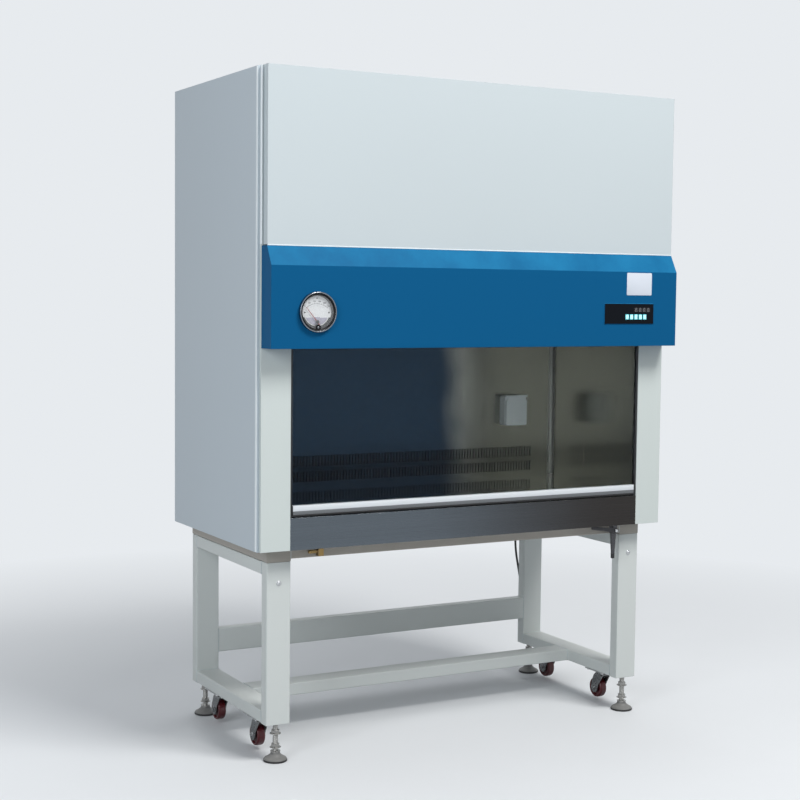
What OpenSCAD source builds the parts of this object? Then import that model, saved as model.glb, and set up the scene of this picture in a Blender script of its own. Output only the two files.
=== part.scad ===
// Class II biosafety cabinet on a tubular stand, with a sliding sash, casters and levelling feet.
// Millimetres. +X is to the user's right, +Y to the back, +Z up. The origin is at floor level,
// below the middle of the cabinet.

/* [Overall] */
// Width over the side panels
overall_w = 1500; // [1400:10:1900]
// Depth from the front of the pressure gauge to the rear panel
overall_d = 796; // [760:2:900]
// Height from the floor to the top panel
overall_h = 2100; // [2090:5:2300]
// Height of the cabinet's underside above the floor
stand_h = 662; // [600:2:670]

/* [Sheet metal] */
// Thickness of the folded side and rear panels
panel_t = 8; // [6:1:12]
// Thickness of all steel sheet
sheet_t = 1.5; // [1:0.1:2]
// Width of the folded panels' lips
lip_w = 20; // [12:1:30]

/* [Front] */
// Width of each front pillar
pillar_w = 97; // [90:1:130]
// How far the pillars stand in front of the side panels
pillar_proud = 12; // [5:1:25]
// Depth of a pillar's outer return
pillar_d = 46; // [40:1:50]
// Width of a pillar's rear lip
pillar_lip = 15; // [8:1:18]
// How far the upper cover stands in front of the pillars
cover_proud = 40; // [20:1:60]
// How far the fascia stands in front of the pillars
fascia_proud = 71; // [62:1:90]
// Height of the fascia
fascia_h = 302; // [260:2:330]
// Height of the sloping strip at the fascia's top
fascia_slope_h = 57; // [30:1:80]
// Shadow gap between the fascia and the upper cover
fascia_gap = 3; // [1:0.5:6]
// Height of the front apron below the window
apron_h = 98; // [80:1:120]
// Depth of the apron's top flange
apron_flange_d = 16; // [10:1:24]
// Height of the window between the apron and the fascia
window_h = 513; // [460:1:530]

/* [Sash] */
// Glass thickness
glass_t = 6; // [5:0.5:8]
// Distance of the glass behind the pillars' front
glass_setback = 6; // [5:0.5:8]
// Height of the glass above the window's top edge when closed
glass_overlap = 65; // [50:1:90]
// Gap under the closed sash
sill_gap = 5; // [3:1:10]
// Height of the sash's bottom rail
sash_rail_h = 33; // [24:1:45]
// Depth of the sash's bottom rail
sash_rail_d = 17; // [16:0.5:20]
// Height of the sash's top rail
top_rail_h = 25; // [18:1:40]
// Travel of the sash
sash_travel = 420; // [300:10:430]
// Width of a guide channel
guide_w = 22; // [18:1:26]
// Wall of a guide channel
guide_t = 2.5; // [2:0.5:3]
// How far a guide channel shows beside its pillar
guide_show = 7; // [4:1:10]
// Play between the glass and a guide's lips
glass_play = 0.5; // [0.3:0.1:1]

/* [Sash drive] */
// Radius of the belt pulleys
pulley_r = 22; // [16:1:26]
// Belt thickness
belt_t = 3; // [2:0.5:4]
// Belt width
belt_w = 10; // [6:1:14]
// Diameter of the drive shaft
shaft_d = 12; // [8:1:16]
// Distance of the belts from the side panels
belt_inset = 42; // [38:1:46]
// Thickness of the sash's carrier arms
arm_t = 5; // [3:0.5:6]
// Length of the gear motor
motor_l = 150; // [100:5:200]
// Diameter of the gear motor
motor_d = 54; // [40:1:60]

/* [Work chamber] */
// Inside width of the work chamber
chamber_w = 1360; // [1300:5:1362]
// Height of the work chamber above the tray
chamber_h = 620; // [560:5:640]
// Height of the tray above the apron's top edge
tray_rise = 14; // [4:1:24]
// Depth of the air duct behind the chamber
rear_duct_d = 137; // [110:1:160]
// Depth of the tray's folded skirt
tray_skirt = 25; // [15:1:35]
// Front to back depth of the intake grille
grille_d = 70; // [50:1:90]
// Pitch of the air slots in the rear wall
slot_pitch = 11.7; // [10:0.1:16]
// Width of an air slot
slot_w = 5.5; // [3:0.5:8]
// Height of the lower row of slots in the rear wall
slot_low_h = 35; // [20:1:45]
// Height of the upper row of slots in the rear wall
slot_high_h = 37; // [20:1:60]
// Space between the rows of slots
slot_row_gap = 17; // [8:1:30]
// Diameter of the fluorescent lamp
lamp_d = 26; // [16:1:30]
// Diameter of the ultraviolet lamp
uv_lamp_d = 16; // [12:1:26]
// Length of the lamps
lamp_l = 895; // [600:5:1150]

/* [Air system] */
// Height of the air filters
filter_h = 90; // [60:2:96]
// Wall of a filter's frame
filter_frame_t = 18; // [12:1:24]
// Pitch of the filter pleats
pleat_pitch = 20; // [14:1:40]
// Thickness of the filter paper
pleat_t = 1.2; // [0.8:0.1:2]
// Height of the pressure plenum
plenum_h = 130; // [110:2:140]
// Width of the exhaust filter
exhaust_w = 560; // [400:10:600]
// Depth of the exhaust filter
exhaust_d = 400; // [300:10:440]
// Radius of the blower's impeller
impeller_r = 120; // [90:1:125]
// Width of the impeller
impeller_w = 180; // [120:2:200]
// Number of impeller blades
blade_n = 36; // [24:1:48]
// Radial depth of the impeller blades
blade_depth = 24; // [16:1:30]
// Radius at the end of the blower's scroll
scroll_end_r = 190; // [170:1:195]

/* [Controls] */
// How far the gauge stands out of the fascia
gauge_proud = 12; // [8:1:20]
// Diameter of the gauge's bezel
gauge_d = 121; // [100:1:130]
// Distance of the gauge's centre from the cabinet's left side
gauge_inset = 156; // [90:1:220]
// Height of the gauge's centre above the fascia's lower edge
gauge_rise = 108.5; // [75:0.5:140]
// Length of the gauge's needle
needle_l = 56; // [40:1:58]
// Width of the control panel
panel_w = 198; // [190:1:240]
// Height of the control panel
panel_h = 65; // [60:1:80]
// Thickness of the control panel's front plate
panel_plate_t = 2; // [1:0.5:3]
// Distance of the control panel's outer edge from the cabinet's right side
panel_inset = 104; // [60:1:200]
// Height of the control panel's lower edge above the fascia's lower edge
panel_rise = 74; // [50:1:110]
// Width of a push button
button_w = 13; // [9:0.5:14]
// Height of a push button
button_h = 17; // [10:0.5:20]
// Pitch of the push buttons
button_pitch = 18; // [16:0.5:20]
// Travel of a push button
button_travel = 1.5; // [0.5:0.1:2]

/* [Socket] */
// Width of the socket's housing
socket_w = 92; // [70:1:120]
// Height of the socket's housing
socket_h = 108; // [80:1:120]
// Depth of the socket's housing
socket_d = 33; // [24:1:40]
// Thickness of the socket's hinged cover
cover_t = 9; // [6:1:12]
// Distance of the socket's centre from the middle of the rear wall
socket_x = 497; // [300:1:560]
// Height of the socket's lower edge above the tray
socket_rise = 189; // [120:1:300]

/* [Stand] */
// Width of a leg
leg_w = 80; // [60:1:90]
// Depth of a leg
leg_d = 40; // [30:1:50]
// Wall of the stand's tubes
tube_t = 2.5; // [2:0.5:4]
// Corner radius of the stand's tubes
tube_r = 4; // [3:0.5:8]
// Distance of the legs' outer faces from the cabinet's sides
leg_inset = 52; // [40:1:90]
// Distance of the front legs behind the pillars' front
leg_front_inset = 54; // [48:1:90]
// Distance of the rear legs from the rear panel
leg_rear_inset = 30; // [24:1:60]
// Height of the legs' lower ends above the floor
leg_clear = 117; // [112:1:124]
// Height of the side rails
side_rail_h = 40; // [30:1:50]
// Height of the rear rail
rear_rail_h = 80; // [60:1:100]
// Height of the rear rail above the lower side rails
rear_rail_rise = 57; // [30:1:90]
// Width of the cross rail
cross_rail_w = 80; // [60:1:90]
// Distance of the cross rail behind the front legs
cross_rail_setback = 254; // [230:1:260]
// Height of the base frame's side members
base_h = 42; // [36:1:50]
// Height of the base frame's front and rear members
base_cross_h = 35; // [28:1:36]

/* [Casters and feet] */
// Caster wheel diameter
wheel_d = 70; // [50:1:74]
// Caster wheel width
wheel_w = 26; // [18:1:28]
// Clearance of the wheels above the floor when the feet carry the stand
wheel_clear = 12; // [8:1:16]
// Offset of a wheel behind its swivel axis
wheel_trail = 25; // [18:1:28]
// Diameter of the wheel's axle
axle_d = 8; // [6:0.5:10]
// Distance of the front casters behind the front legs
caster_front = 94; // [70:1:110]
// Distance of the rear casters in front of the rear legs
caster_rear = 127; // [110:1:150]
// Diameter of a foot's pad
foot_d = 72; // [50:1:76]
// Height of a foot's pad
foot_h = 30; // [18:1:32]
// Diameter of a foot's stem
stem_d = 16; // [12:1:18]

/* [Services] */
// Distance of the drain valve from the cabinet's right side
valve_inset = 176; // [150:1:250]
// Length of the drain valve's lever
valve_lever_l = 98; // [70:1:110]
// Distance of the service fitting from the cabinet's left side
fitting_inset = 218; // [170:1:350]
// Distance of the services behind the apron
service_setback = 29; // [24:1:36]

/* [Clearances] */
// Radial clearance of a running fit
fit_clear = 0.05; // [0.02:0.01:0.09]
// Clearance between pieces that pass or lie close to each other
pass_clear = 0.3; // [0.2:0.1:0.6]
// Gap left for the weld between two tubes
weld_gap = 0.2; // [0.2:0.1:0.4]

/* [Hidden] */

$fn = 64;
eps = 0.01;

// Front to back planes
y_back = overall_d / 2;
y_face = gauge_proud - overall_d / 2;
y_pillar = y_face + fascia_proud;
y_cover = y_pillar - cover_proud;
y_side = y_pillar + pillar_proud;
y_glass = y_pillar + glass_setback;
y_guide = y_glass - glass_play - guide_t;
y_guide_back = y_glass + glass_t + glass_play + guide_t;
y_rear_in = y_back - panel_t;
y_rear_wall = y_rear_in - rear_duct_d;

// Left to right planes
x_side = overall_w / 2;
x_in = x_side - panel_t;
x_pillar = x_in - pillar_w;
x_guide = x_pillar - guide_show;
x_chamber = chamber_w / 2;

// Heights
z_sill = stand_h + apron_h;
z_tray = z_sill + tray_rise;
z_fascia = z_sill + window_h;
z_fascia_top = z_fascia + fascia_h;
z_cover = z_fascia_top + fascia_gap;
z_ceiling = z_tray + chamber_h;
z_filter = z_ceiling + sheet_t;
z_plenum = z_filter + filter_h;
z_deck = z_plenum + plenum_h;
z_top = overall_h - sheet_t;

// Sash and its drive
z_rail = z_sill + sill_gap;
z_glass = z_rail + 5;
z_glass_top = z_fascia + glass_overlap;
z_top_rail = z_glass_top - 13;
z_guide_top = z_top_rail + top_rail_h + sash_travel + 20;
guide_web = 4;
glass_edge_play = 4;
glass_half_w = x_guide + guide_w - guide_web - glass_edge_play;
rail_half_w = x_guide - 2;
y_rail = y_pillar + 1;
y_arm = y_guide_back + 2;
clamp_pad = 2;
y_belt = y_arm + arm_t + clamp_pad;
y_shaft = y_belt + belt_t + pulley_r;
x_belt = x_in - belt_inset;
z_shaft = z_guide_top + 40;
z_idler = z_top_rail - 35;
bearing_w = 15;
x_bearing = x_in - pillar_lip - bearing_w;

// Stand
x_leg = x_side - leg_inset;
y_leg_front = y_pillar + leg_front_inset;
y_leg_rear = y_back - leg_rear_inset;
z_base = stand_h - base_h;
shadow_gap = 1;
z_leg_top = z_base - shadow_gap;
x_foot = x_leg - leg_w / 2;
y_foot_front = y_leg_front + leg_d / 2;
y_foot_rear = y_leg_rear - leg_d / 2;
z_rear_rail = leg_clear + side_rail_h + rear_rail_rise;
y_cross_rail = y_leg_front + leg_d + cross_rail_setback;
y_caster_front = y_leg_front + leg_d + caster_front;
y_caster_rear = y_leg_rear - leg_d - caster_rear;

// Air system
plenum_half_w = x_chamber - 2;
plenum_front = y_pillar + 78;
plenum_back = y_rear_wall - 12;
y_mid = (plenum_front + plenum_back) / 2;
exhaust_x = x_chamber - exhaust_w / 2 - 60;
z_exhaust = overall_h - filter_h - 48;
blower_x = -x_chamber / 2;
z_blower = z_deck + scroll_end_r;
housing_w = impeller_w + 24;
scroll_start_r = impeller_r + 9;
scroll_sweep = 300;
inlet_r = impeller_r - blade_depth + 4;
motor_pin_d = 20;

// Controls
gauge_x = gauge_inset - x_side;
gauge_z = z_fascia + gauge_rise;
gauge_case_d = gauge_d - 8;
gauge_pivot_z = gauge_z - 29;
needle_rest = -40;
dial_y = y_face + 2;
lens_t = 2;
panel_x = x_side - panel_inset - panel_w;
panel_z = z_fascia + panel_rise;
panel_depth = 24;
button_x = panel_x + 83;
button_z = panel_z + 14;
button_out = 1.5;
button_deep = 4;

// Socket
z_socket = z_tray + socket_rise;
y_socket = y_rear_wall - socket_d;
hinge_r = 3;
hinge_pin_d = 3;
z_socket_hinge = z_socket + socket_h - 2;
y_socket_hinge = y_socket - cover_t / 2 - pass_clear;

// Services
valve_x = x_side - valve_inset;
fitting_x = x_side - fitting_inset;
y_service = y_pillar + service_setback;
z_valve = stand_h - 20;
valve_stem_l = 18;

// Power cord: its diameter, and its route from the gland to the coil
cord_d = 8;
cord_sides = 10;
cord_steps = 2;
gland_x = x_side - leg_inset - leg_w - 10;
gland_y = y_back - leg_rear_inset / 2;
gland_drop = 9;
gland_d = cord_d + 2;
coil_x = gland_x + 82;
coil_y = gland_y + 102;
coil_r = 42;
coil_band = 24;
coil_h = 16;
// The cord's way from the gland: across, back and height above the floor
CORD_WAY = [
  [0, 0, 653], [0, 0, 630], [0, 0, 600], [1, 0, 570], [3, 1, 535], [5, 1, 503], [7, 1, 474],
  [12, 1, 440], [20, 1, 400], [28, 1, 360], [37, 2, 315], [46, 2, 270], [54, 3, 225],
  [61, 3, 180], [67, 4, 140], [72, 5, 105], [76, 6, 72], [78.5, 8.5, 40], [81.2, 12.5, 22],
  [88.7, 23.3, 8.8], [98.9, 38.2, 4.7], [106.8, 49.7, 4.4]];
CORD_ROUTE = [for (p = CORD_WAY)
  [gland_x + p[0], gland_y + p[1], p[2] > 100 ? p[2] * stand_h / 662 : p[2]]];

// ---- Helpers ----

// Box between two values on each axis
module span(x, y, z) {
  translate([x[0], y[0], z[0]])
    cube([x[1] - x[0], y[1] - y[0], z[1] - z[0]]);
}

module both_sides() {
  children();
  mirror([1, 0, 0]) children();
}

// Rectangle with round corners, centred
module round_rect(w, h, r) {
  square([w - 2 * r, h], center = true);
  square([w, h - 2 * r], center = true);
  for (sx = [-1, 1], sy = [-1, 1])
    translate([sx * (w / 2 - r), sy * (h / 2 - r)]) circle(r);
}

module tube_section(w, h) {
  difference() {
    round_rect(w, h, tube_r);
    round_rect(w - 2 * tube_t, h - 2 * tube_t, max(tube_r - tube_t, 0.5));
  }
}

// Extrudes a section drawn in Y and Z along X, from x[0] to x[1]
module along_x(x) {
  translate([x[0], 0, 0])
    rotate([90, 0, 90])
      linear_extrude(x[1] - x[0]) children();
}

// Extrudes a section drawn in X and Z along Y, from y[0] to y[1]
module along_y(y) {
  translate([0, y[1], 0])
    rotate([90, 0, 0])
      linear_extrude(y[1] - y[0]) children();
}

module cylinder_x(d, x) {
  translate([x[0], 0, 0])
    rotate([0, 90, 0]) cylinder(d = d, h = x[1] - x[0]);
}

module cylinder_y(d, y) {
  translate([0, y[0], 0])
    rotate([-90, 0, 0]) cylinder(d = d, h = y[1] - y[0]);
}

// Range of a folded tray's mouth on one axis: inside the lips, or through the open side
function mouth(range, side) =
  side == 0 ? [range[0] + lip_w, range[1] - lip_w]
  : side > 0 ? [range[1] - 2 * sheet_t, range[1] + 1]
  : [range[0] - 1, range[0] + 2 * sheet_t];

function inset(range, t) = [range[0] + t, range[1] - t];

// Folded tray: a skin whose edges and lips are turned in towards the side that it opens to
module tray(x, y, z, open) {
  difference() {
    span(x, y, z);
    span(inset(x, sheet_t), inset(y, sheet_t), inset(z, sheet_t));
    span(mouth(x, open[0]), mouth(y, open[1]), mouth(z, open[2]));
  }
}

// Row of upright slots in a sheet, about X = 0
module slot_row(half_w, z, h) {
  n = floor((half_w - slot_w) / slot_pitch);
  for (i = [-n:n])
    translate([i * slot_pitch - slot_w / 2, z]) square([slot_w, h]);
}

// Grid of slots that fills a field of w by h about the origin
module slot_grid(w, h, slot, pitch) {
  columns = floor(w / pitch[0]);
  rows = floor(h / pitch[1]);
  for (i = [0:columns - 1], j = [0:rows - 1])
    translate([(i - (columns - 1) / 2) * pitch[0], (j - (rows - 1) / 2) * pitch[1]])
      square(slot, center = true);
}

// ---- Casing ----

module side_panel() {
  color("gainsboro")
    tray([x_in, x_side], [y_side, y_back], [stand_h, overall_h], [-1, 0, 0]);
}

module side_panel_left() {
  mirror([1, 0, 0]) side_panel();
}

module side_panel_right() {
  side_panel();
}

module rear_panel() {
  color("gainsboro")
    tray([-x_in, x_in], [y_rear_in, y_back], [stand_h, overall_h], [0, -1, 0]);
}

// Top sheet with a turned-down rim and the grille of the exhaust outlet
module top_panel() {
  color("gainsboro") {
    translate([exhaust_x, y_mid, z_top])
      linear_extrude(sheet_t)
        difference() {
          translate([-x_in - exhaust_x, y_pillar - y_mid])
            square([2 * x_in, y_rear_in - y_pillar]);
          slot_grid(exhaust_w - 40, exhaust_d - 40, [12, 48], [20, 60]);
        }
    difference() {
      span([-x_in, x_in], [y_pillar, y_rear_in], [z_top - lip_w, z_top]);
      span(inset([-x_in, x_in], sheet_t), inset([y_pillar, y_rear_in], sheet_t),
        [z_top - lip_w - 1, z_top + 1]);
    }
  }
}

// Bottom sheet with an upturned rim at the sides and back, and a tongue between the pillars
module base_pan() {
  pan_t = 2;
  y_tongue = y_pillar + sheet_t;
  y_front = y_pillar + pillar_d;
  z = stand_h + pan_t;
  color("silver") {
    difference() {
      union() {
        span([-x_in, x_in], [y_front, y_rear_in], [stand_h, z]);
        span([-x_pillar, x_pillar], [y_tongue, y_front + 1], [stand_h, z]);
      }
      translate([gland_x, gland_y, stand_h - 1]) cylinder(d = gland_d + 2 * pass_clear, h = pan_t + 2);
    }
    both_sides() span([x_in - sheet_t, x_in], [y_pillar + pillar_d, y_rear_in], [z - 1, z + lip_w]);
    span([-x_in, x_in], [y_rear_in - sheet_t, y_rear_in], [z - 1, z + lip_w]);
  }
}

// Front post: a folded channel that is open at the back, closed at its foot
module pillar() {
  y_return = y_pillar + pillar_d;
  color("whitesmoke") {
    translate([0, 0, stand_h])
      linear_extrude(z_top - lip_w - stand_h)
        polygon([
          [x_pillar, y_pillar], [x_in, y_pillar], [x_in, y_return],
          [x_in - pillar_lip, y_return], [x_in - pillar_lip, y_return - sheet_t],
          [x_in - sheet_t, y_return - sheet_t], [x_in - sheet_t, y_pillar + sheet_t],
          [x_pillar + sheet_t, y_pillar + sheet_t], [x_pillar + sheet_t, y_guide],
          [x_pillar, y_guide]]);
    span([x_pillar, x_in], [y_pillar, y_return - sheet_t / 2], [stand_h, stand_h + sheet_t]);
  }
}

module pillar_left() {
  mirror([1, 0, 0]) pillar();
}

module pillar_right() {
  pillar();
}

module upper_cover() {
  color("whitesmoke")
    tray([1 - x_in, x_in - 1], [y_cover, y_pillar], [z_cover, overall_h], [0, 1, 0]);
}

// Outline of the fascia's section in Y and Z, moved in by t
function fascia_outline(t) =
  let (
    slope = (fascia_proud - cover_proud) / fascia_slope_h,
    shift = t * sqrt(1 + slope * slope),
    y_top = y_cover + shift - slope * t,
    z_bend = z_fascia_top + (y_face + t - y_cover - shift) / slope,
    y_open = y_pillar + (t > 0 ? 1 : 0))
  [[y_open, z_fascia + t], [y_face + t, z_fascia + t], [y_face + t, z_bend],
   [y_top, z_fascia_top - t], [y_open, z_fascia_top - t]];

module fascia() {
  color("steelblue")
    difference() {
      union() {
        difference() {
          along_x([-x_in, x_in]) polygon(fascia_outline(0));
          along_x([sheet_t - x_in, x_in - sheet_t]) polygon(fascia_outline(sheet_t));
        }
        both_sides()
          span([x_pillar, x_in - sheet_t], [y_pillar - sheet_t, y_pillar],
            [z_fascia + sheet_t, z_fascia + lip_w]);
      }
      translate([gauge_x, 0, gauge_z])
        cylinder_y(gauge_case_d + 2 * pass_clear, [y_face - 1, y_face + sheet_t + 1]);
      span([panel_x + 3, panel_x + panel_w - 3], [y_face - 1, y_face + sheet_t + 1],
        [panel_z + 3, panel_z + panel_h - 3]);
    }
}

// ---- Window ----

module front_apron() {
  y_edge = y_pillar + apron_flange_d;
  color("silver")
    along_x([-x_pillar, x_pillar])
      polygon([
        [y_pillar, stand_h], [y_pillar + sheet_t, stand_h], [y_pillar + sheet_t, z_sill - sheet_t],
        [y_edge, z_sill - sheet_t], [y_edge, z_sill], [y_pillar, z_sill]]);
}

// One guide: a channel that opens towards the glass
module sash_guides() {
  y_front = y_guide + guide_t;
  y_rear = y_guide_back - guide_t;
  x_web = x_guide + guide_w - guide_web;
  color("dimgray")
    both_sides()
      translate([0, 0, z_sill])
        linear_extrude(z_guide_top - z_sill)
          polygon([
            [x_guide, y_guide], [x_guide + guide_w, y_guide], [x_guide + guide_w, y_guide_back],
            [x_guide, y_guide_back], [x_guide, y_rear], [x_web, y_rear], [x_web, y_front],
            [x_guide, y_front]]);
}

module sash_glass() {
  color("lightsteelblue")
    span([-glass_half_w, glass_half_w], [y_glass, y_glass + glass_t], [z_glass, z_glass_top]);
}

// Bottom rail with its groove, and top rail with the carrier arms that hold the belts
module sash_rails() {
  y_rail_back = y_pillar + sash_rail_d + 1;
  z_rail_top = z_rail + sash_rail_h;
  y_glass_back = y_glass + glass_t;
  x_clamp = x_belt + belt_w / 2 + 2;
  color("lightgray") {
    along_x([-rail_half_w, rail_half_w])
      polygon([
        [y_rail, z_rail_top], [y_rail, z_rail + 15], [y_rail + 3, z_rail + 12],
        [y_rail + 3, z_rail], [y_rail_back, z_rail], [y_rail_back, z_rail_top],
        [y_glass_back, z_rail_top], [y_glass_back, z_glass], [y_glass, z_glass],
        [y_glass, z_rail_top]]);
    along_x([-rail_half_w, rail_half_w])
      polygon([
        [y_glass - 3, z_top_rail], [y_glass, z_top_rail], [y_glass, z_glass_top],
        [y_glass_back, z_glass_top], [y_glass_back, z_top_rail], [y_arm + arm_t, z_top_rail],
        [y_arm + arm_t, z_top_rail + top_rail_h], [y_glass - 3, z_top_rail + top_rail_h]]);
    both_sides() {
      span([rail_half_w - 1, x_clamp], [y_arm, y_arm + arm_t],
        [z_top_rail, z_top_rail + top_rail_h]);
      span([x_belt - belt_w / 2 - 2, x_clamp], [y_arm, y_belt - pass_clear],
        [z_top_rail, z_top_rail + top_rail_h]);
    }
  }
}

// ---- Sash drive ----

module toothed_pulley(x) {
  groove_r = pulley_r - pass_clear;
  color("silver") {
    cylinder_x(2 * groove_r, [x - belt_w / 2, x + belt_w / 2]);
    for (side = [-1, 1])
      translate([x + side * (belt_w / 2 + 0.8), 0, 0])
        cylinder_x(2 * (pulley_r + belt_t), [-0.5, 0.5]);
  }
}

// Cross shaft with a pulley near each end
module drive_shaft() {
  x_end = x_bearing + bearing_w;
  translate([0, y_shaft, z_shaft]) {
    color("silver") cylinder_x(shaft_d, [-x_end, x_end]);
    both_sides() toothed_pulley(x_belt);
  }
}

// Return pulleys at the belts' lower ends, each on its own stub shaft
module idler_pulleys() {
  x_end = x_bearing + bearing_w;
  translate([0, y_shaft, z_idler])
    both_sides() {
      toothed_pulley(x_belt);
      color("silver") cylinder_x(shaft_d, [x_belt - 8, x_end]);
    }
}

module drive_belts() {
  color("dimgray")
    both_sides()
      translate([0, y_shaft, 0])
        along_x([x_belt - belt_w / 2, x_belt + belt_w / 2])
          difference() {
            belt_loop(pulley_r + belt_t);
            belt_loop(pulley_r);
          }
}

module belt_loop(r) {
  translate([0, z_idler]) circle(r);
  translate([0, z_shaft]) circle(r);
  translate([-r, z_idler]) square([2 * r, z_shaft - z_idler]);
}

// Bearing block that bolts to a pillar's rear lip
module bearing_block(z) {
  y_lip = y_pillar + pillar_d;
  translate([0, 0, z])
    difference() {
      union() {
        span([x_bearing, x_bearing + bearing_w], [y_shaft - 20, y_shaft + 24], [-22, 22]);
        span([x_bearing, x_in - 2], [y_lip, y_shaft + 24], [-22, 22]);
      }
      translate([0, y_shaft, 0])
        cylinder_x(shaft_d + 2 * fit_clear, [x_bearing - 1, x_bearing + bearing_w + eps]);
    }
}

// Gear motor on its cross beam, and the bearing blocks of the shaft and the return pulleys
module sash_drive() {
  gear_w = 70;
  gear_x = 300;
  y_lip = y_pillar + pillar_d;
  z_beam = z_shaft + 32;
  z_motor = z_shaft - 52;
  color("slategray") {
    both_sides() {
      bearing_block(z_shaft);
      bearing_block(z_idler);
    }
    along_x([2 - x_in, x_in - 2])
      translate([y_lip + 15, z_beam + 20])
        difference() {
          square([30, 40], center = true);
          square([30 - 2 * tube_t, 40 - 2 * tube_t], center = true);
        }
    difference() {
      span([gear_x, gear_x + gear_w], [y_shaft - 22, y_shaft + 28], [z_motor - 30, z_beam]);
      translate([0, y_shaft, z_shaft])
        cylinder_x(shaft_d + 2 * fit_clear, [gear_x - 1, gear_x + gear_w + 1]);
    }
    translate([0, y_shaft + 3, z_motor])
      cylinder_x(motor_d - 8, [gear_x + gear_w - eps, gear_x + gear_w + motor_l]);
    translate([0, y_shaft + 3, z_motor])
      cylinder_x(motor_d - 4, [gear_x + gear_w + 12, gear_x + gear_w + motor_l - 12]);
  }
}

// ---- Work chamber ----

module chamber_back() {
  z_low = z_tray + slot_row_gap;
  z_high = z_low + slot_low_h + slot_row_gap;
  color("silver")
    along_y([y_rear_wall, y_rear_wall + sheet_t])
      difference() {
        translate([-x_chamber, stand_h + 2]) square([chamber_w, z_ceiling - stand_h - 2]);
        slot_row(x_chamber - 80, z_low, slot_low_h);
        slot_row(x_chamber - 80, z_high, slot_high_h);
      }
}

// Side walls, each with the ledge that carries the work tray
module chamber_sides() {
  y_edge = y_guide_back + 8;
  z_ledge = z_tray - tray_skirt;
  color("silver")
    both_sides() {
      span([x_chamber, x_chamber + sheet_t], [y_edge, y_rear_wall + sheet_t],
        [stand_h + 2, z_ceiling]);
      span([x_chamber - 12, x_chamber + eps], [y_pillar + 90, y_rear_wall],
        [z_ledge - sheet_t, z_ledge]);
    }
}

// Perforated ceiling sheet with an upturned front edge
module ceiling_diffuser() {
  y_edge = y_guide_back + 10;
  color("silver") {
    translate([0, y_mid, z_ceiling])
      linear_extrude(sheet_t)
        difference() {
          translate([-x_chamber - sheet_t, y_edge - y_mid])
            square([chamber_w + 2 * sheet_t, y_rear_wall + sheet_t - y_edge]);
          slot_grid(chamber_w - 80, plenum_back - plenum_front - 60, [100, 10], [125, 30]);
        }
    span([-x_chamber, x_chamber], [y_edge, y_edge + sheet_t], [z_ceiling, z_ceiling + 15]);
  }
}

// Work surface: a plain sheet with its edges folded down
module work_tray() {
  x = [pass_clear - x_chamber, x_chamber - pass_clear];
  y = [y_pillar + apron_flange_d + grille_d, y_rear_wall - pass_clear];
  color("lightgray")
    difference() {
      span(x, y, [z_tray - tray_skirt, z_tray]);
      span(inset(x, sheet_t), inset(y, sheet_t), [z_tray - tray_skirt - 1, z_tray - sheet_t]);
    }
}

// Air intake between the apron and the tray
module intake_grille() {
  y = [y_pillar + sheet_t, y_pillar + apron_flange_d + grille_d];
  slot_l = grille_d - 24;
  z = z_sill - sheet_t;
  color("silver")
    translate([0, 0, z - sheet_t])
      linear_extrude(sheet_t)
        difference() {
          translate([-x_pillar, y[0]]) square([2 * x_pillar, y[1] - y[0]]);
          translate([0, y[1] - 12 - slot_l]) slot_row(x_pillar - 30, 0, slot_l);
        }
}

// ---- Air system ----

// Filter: a frame with a folded paper pack
module air_filter(x, y, z) {
  inner_x = inset(x, filter_frame_t);
  inner_y = inset(y, filter_frame_t);
  folds = floor((inner_x[1] - inner_x[0]) / pleat_pitch);
  step = (inner_x[1] - inner_x[0]) / folds / 2;
  top = z[1] - 6;
  bottom = z[0] + 6;
  color("beige") {
    difference() {
      span(x, y, z);
      span(inner_x, inner_y, [z[0] - 1, z[1] + 1]);
    }
    along_y(inner_y)
      polygon(concat(
        [for (i = [0:2 * folds]) [inner_x[0] + i * step, i % 2 == 0 ? bottom : top]],
        [for (i = [2 * folds:-1:0])
          [inner_x[0] + i * step, (i % 2 == 0 ? bottom : top) - 3 * pleat_t]]));
  }
}

module supply_filter() {
  air_filter([-plenum_half_w, plenum_half_w], [plenum_front, plenum_back], [z_filter, z_plenum]);
}

module exhaust_filter() {
  air_filter([exhaust_x - exhaust_w / 2 - lip_w, exhaust_x + exhaust_w / 2 + lip_w],
    [y_mid - exhaust_d / 2 - lip_w, y_mid + exhaust_d / 2 + lip_w],
    [z_exhaust, z_exhaust + filter_h]);
}

// Pressure plenum over the supply filter, with the riser to the exhaust filter
module plenum_box() {
  x = [-plenum_half_w, plenum_half_w];
  y = [plenum_front, plenum_back];
  riser_x = [exhaust_x - exhaust_w / 2, exhaust_x + exhaust_w / 2];
  riser_y = [y_mid - exhaust_d / 2, y_mid + exhaust_d / 2];
  color("lightgray")
    difference() {
      union() {
        span(x, y, [z_plenum, z_deck]);
        span(riser_x, riser_y, [z_deck - 1, z_exhaust]);
        span(inset(riser_x, -lip_w), inset(riser_y, -lip_w), [z_exhaust - sheet_t, z_exhaust]);
      }
      span(inset(x, sheet_t), inset(y, sheet_t), [z_plenum - 1, z_deck - sheet_t]);
      span(inset(riser_x, sheet_t), inset(riser_y, sheet_t), [z_deck - 5, z_exhaust + 1]);
      translate([blower_x, y_mid, z_deck - 5])
        span([-impeller_w / 2, impeller_w / 2], [10 - scroll_end_r, -scroll_start_r / 2 - 10],
          [0, 10]);
    }
}

// Point of the scroll at angle a along it, moved in by t
function scroll_point(a, t) =
  let (r = scroll_start_r + (scroll_end_r - scroll_start_r) * a / scroll_sweep - t,
    direction = 180 - scroll_sweep + a)
  [r * cos(direction), r * sin(direction)];

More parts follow.
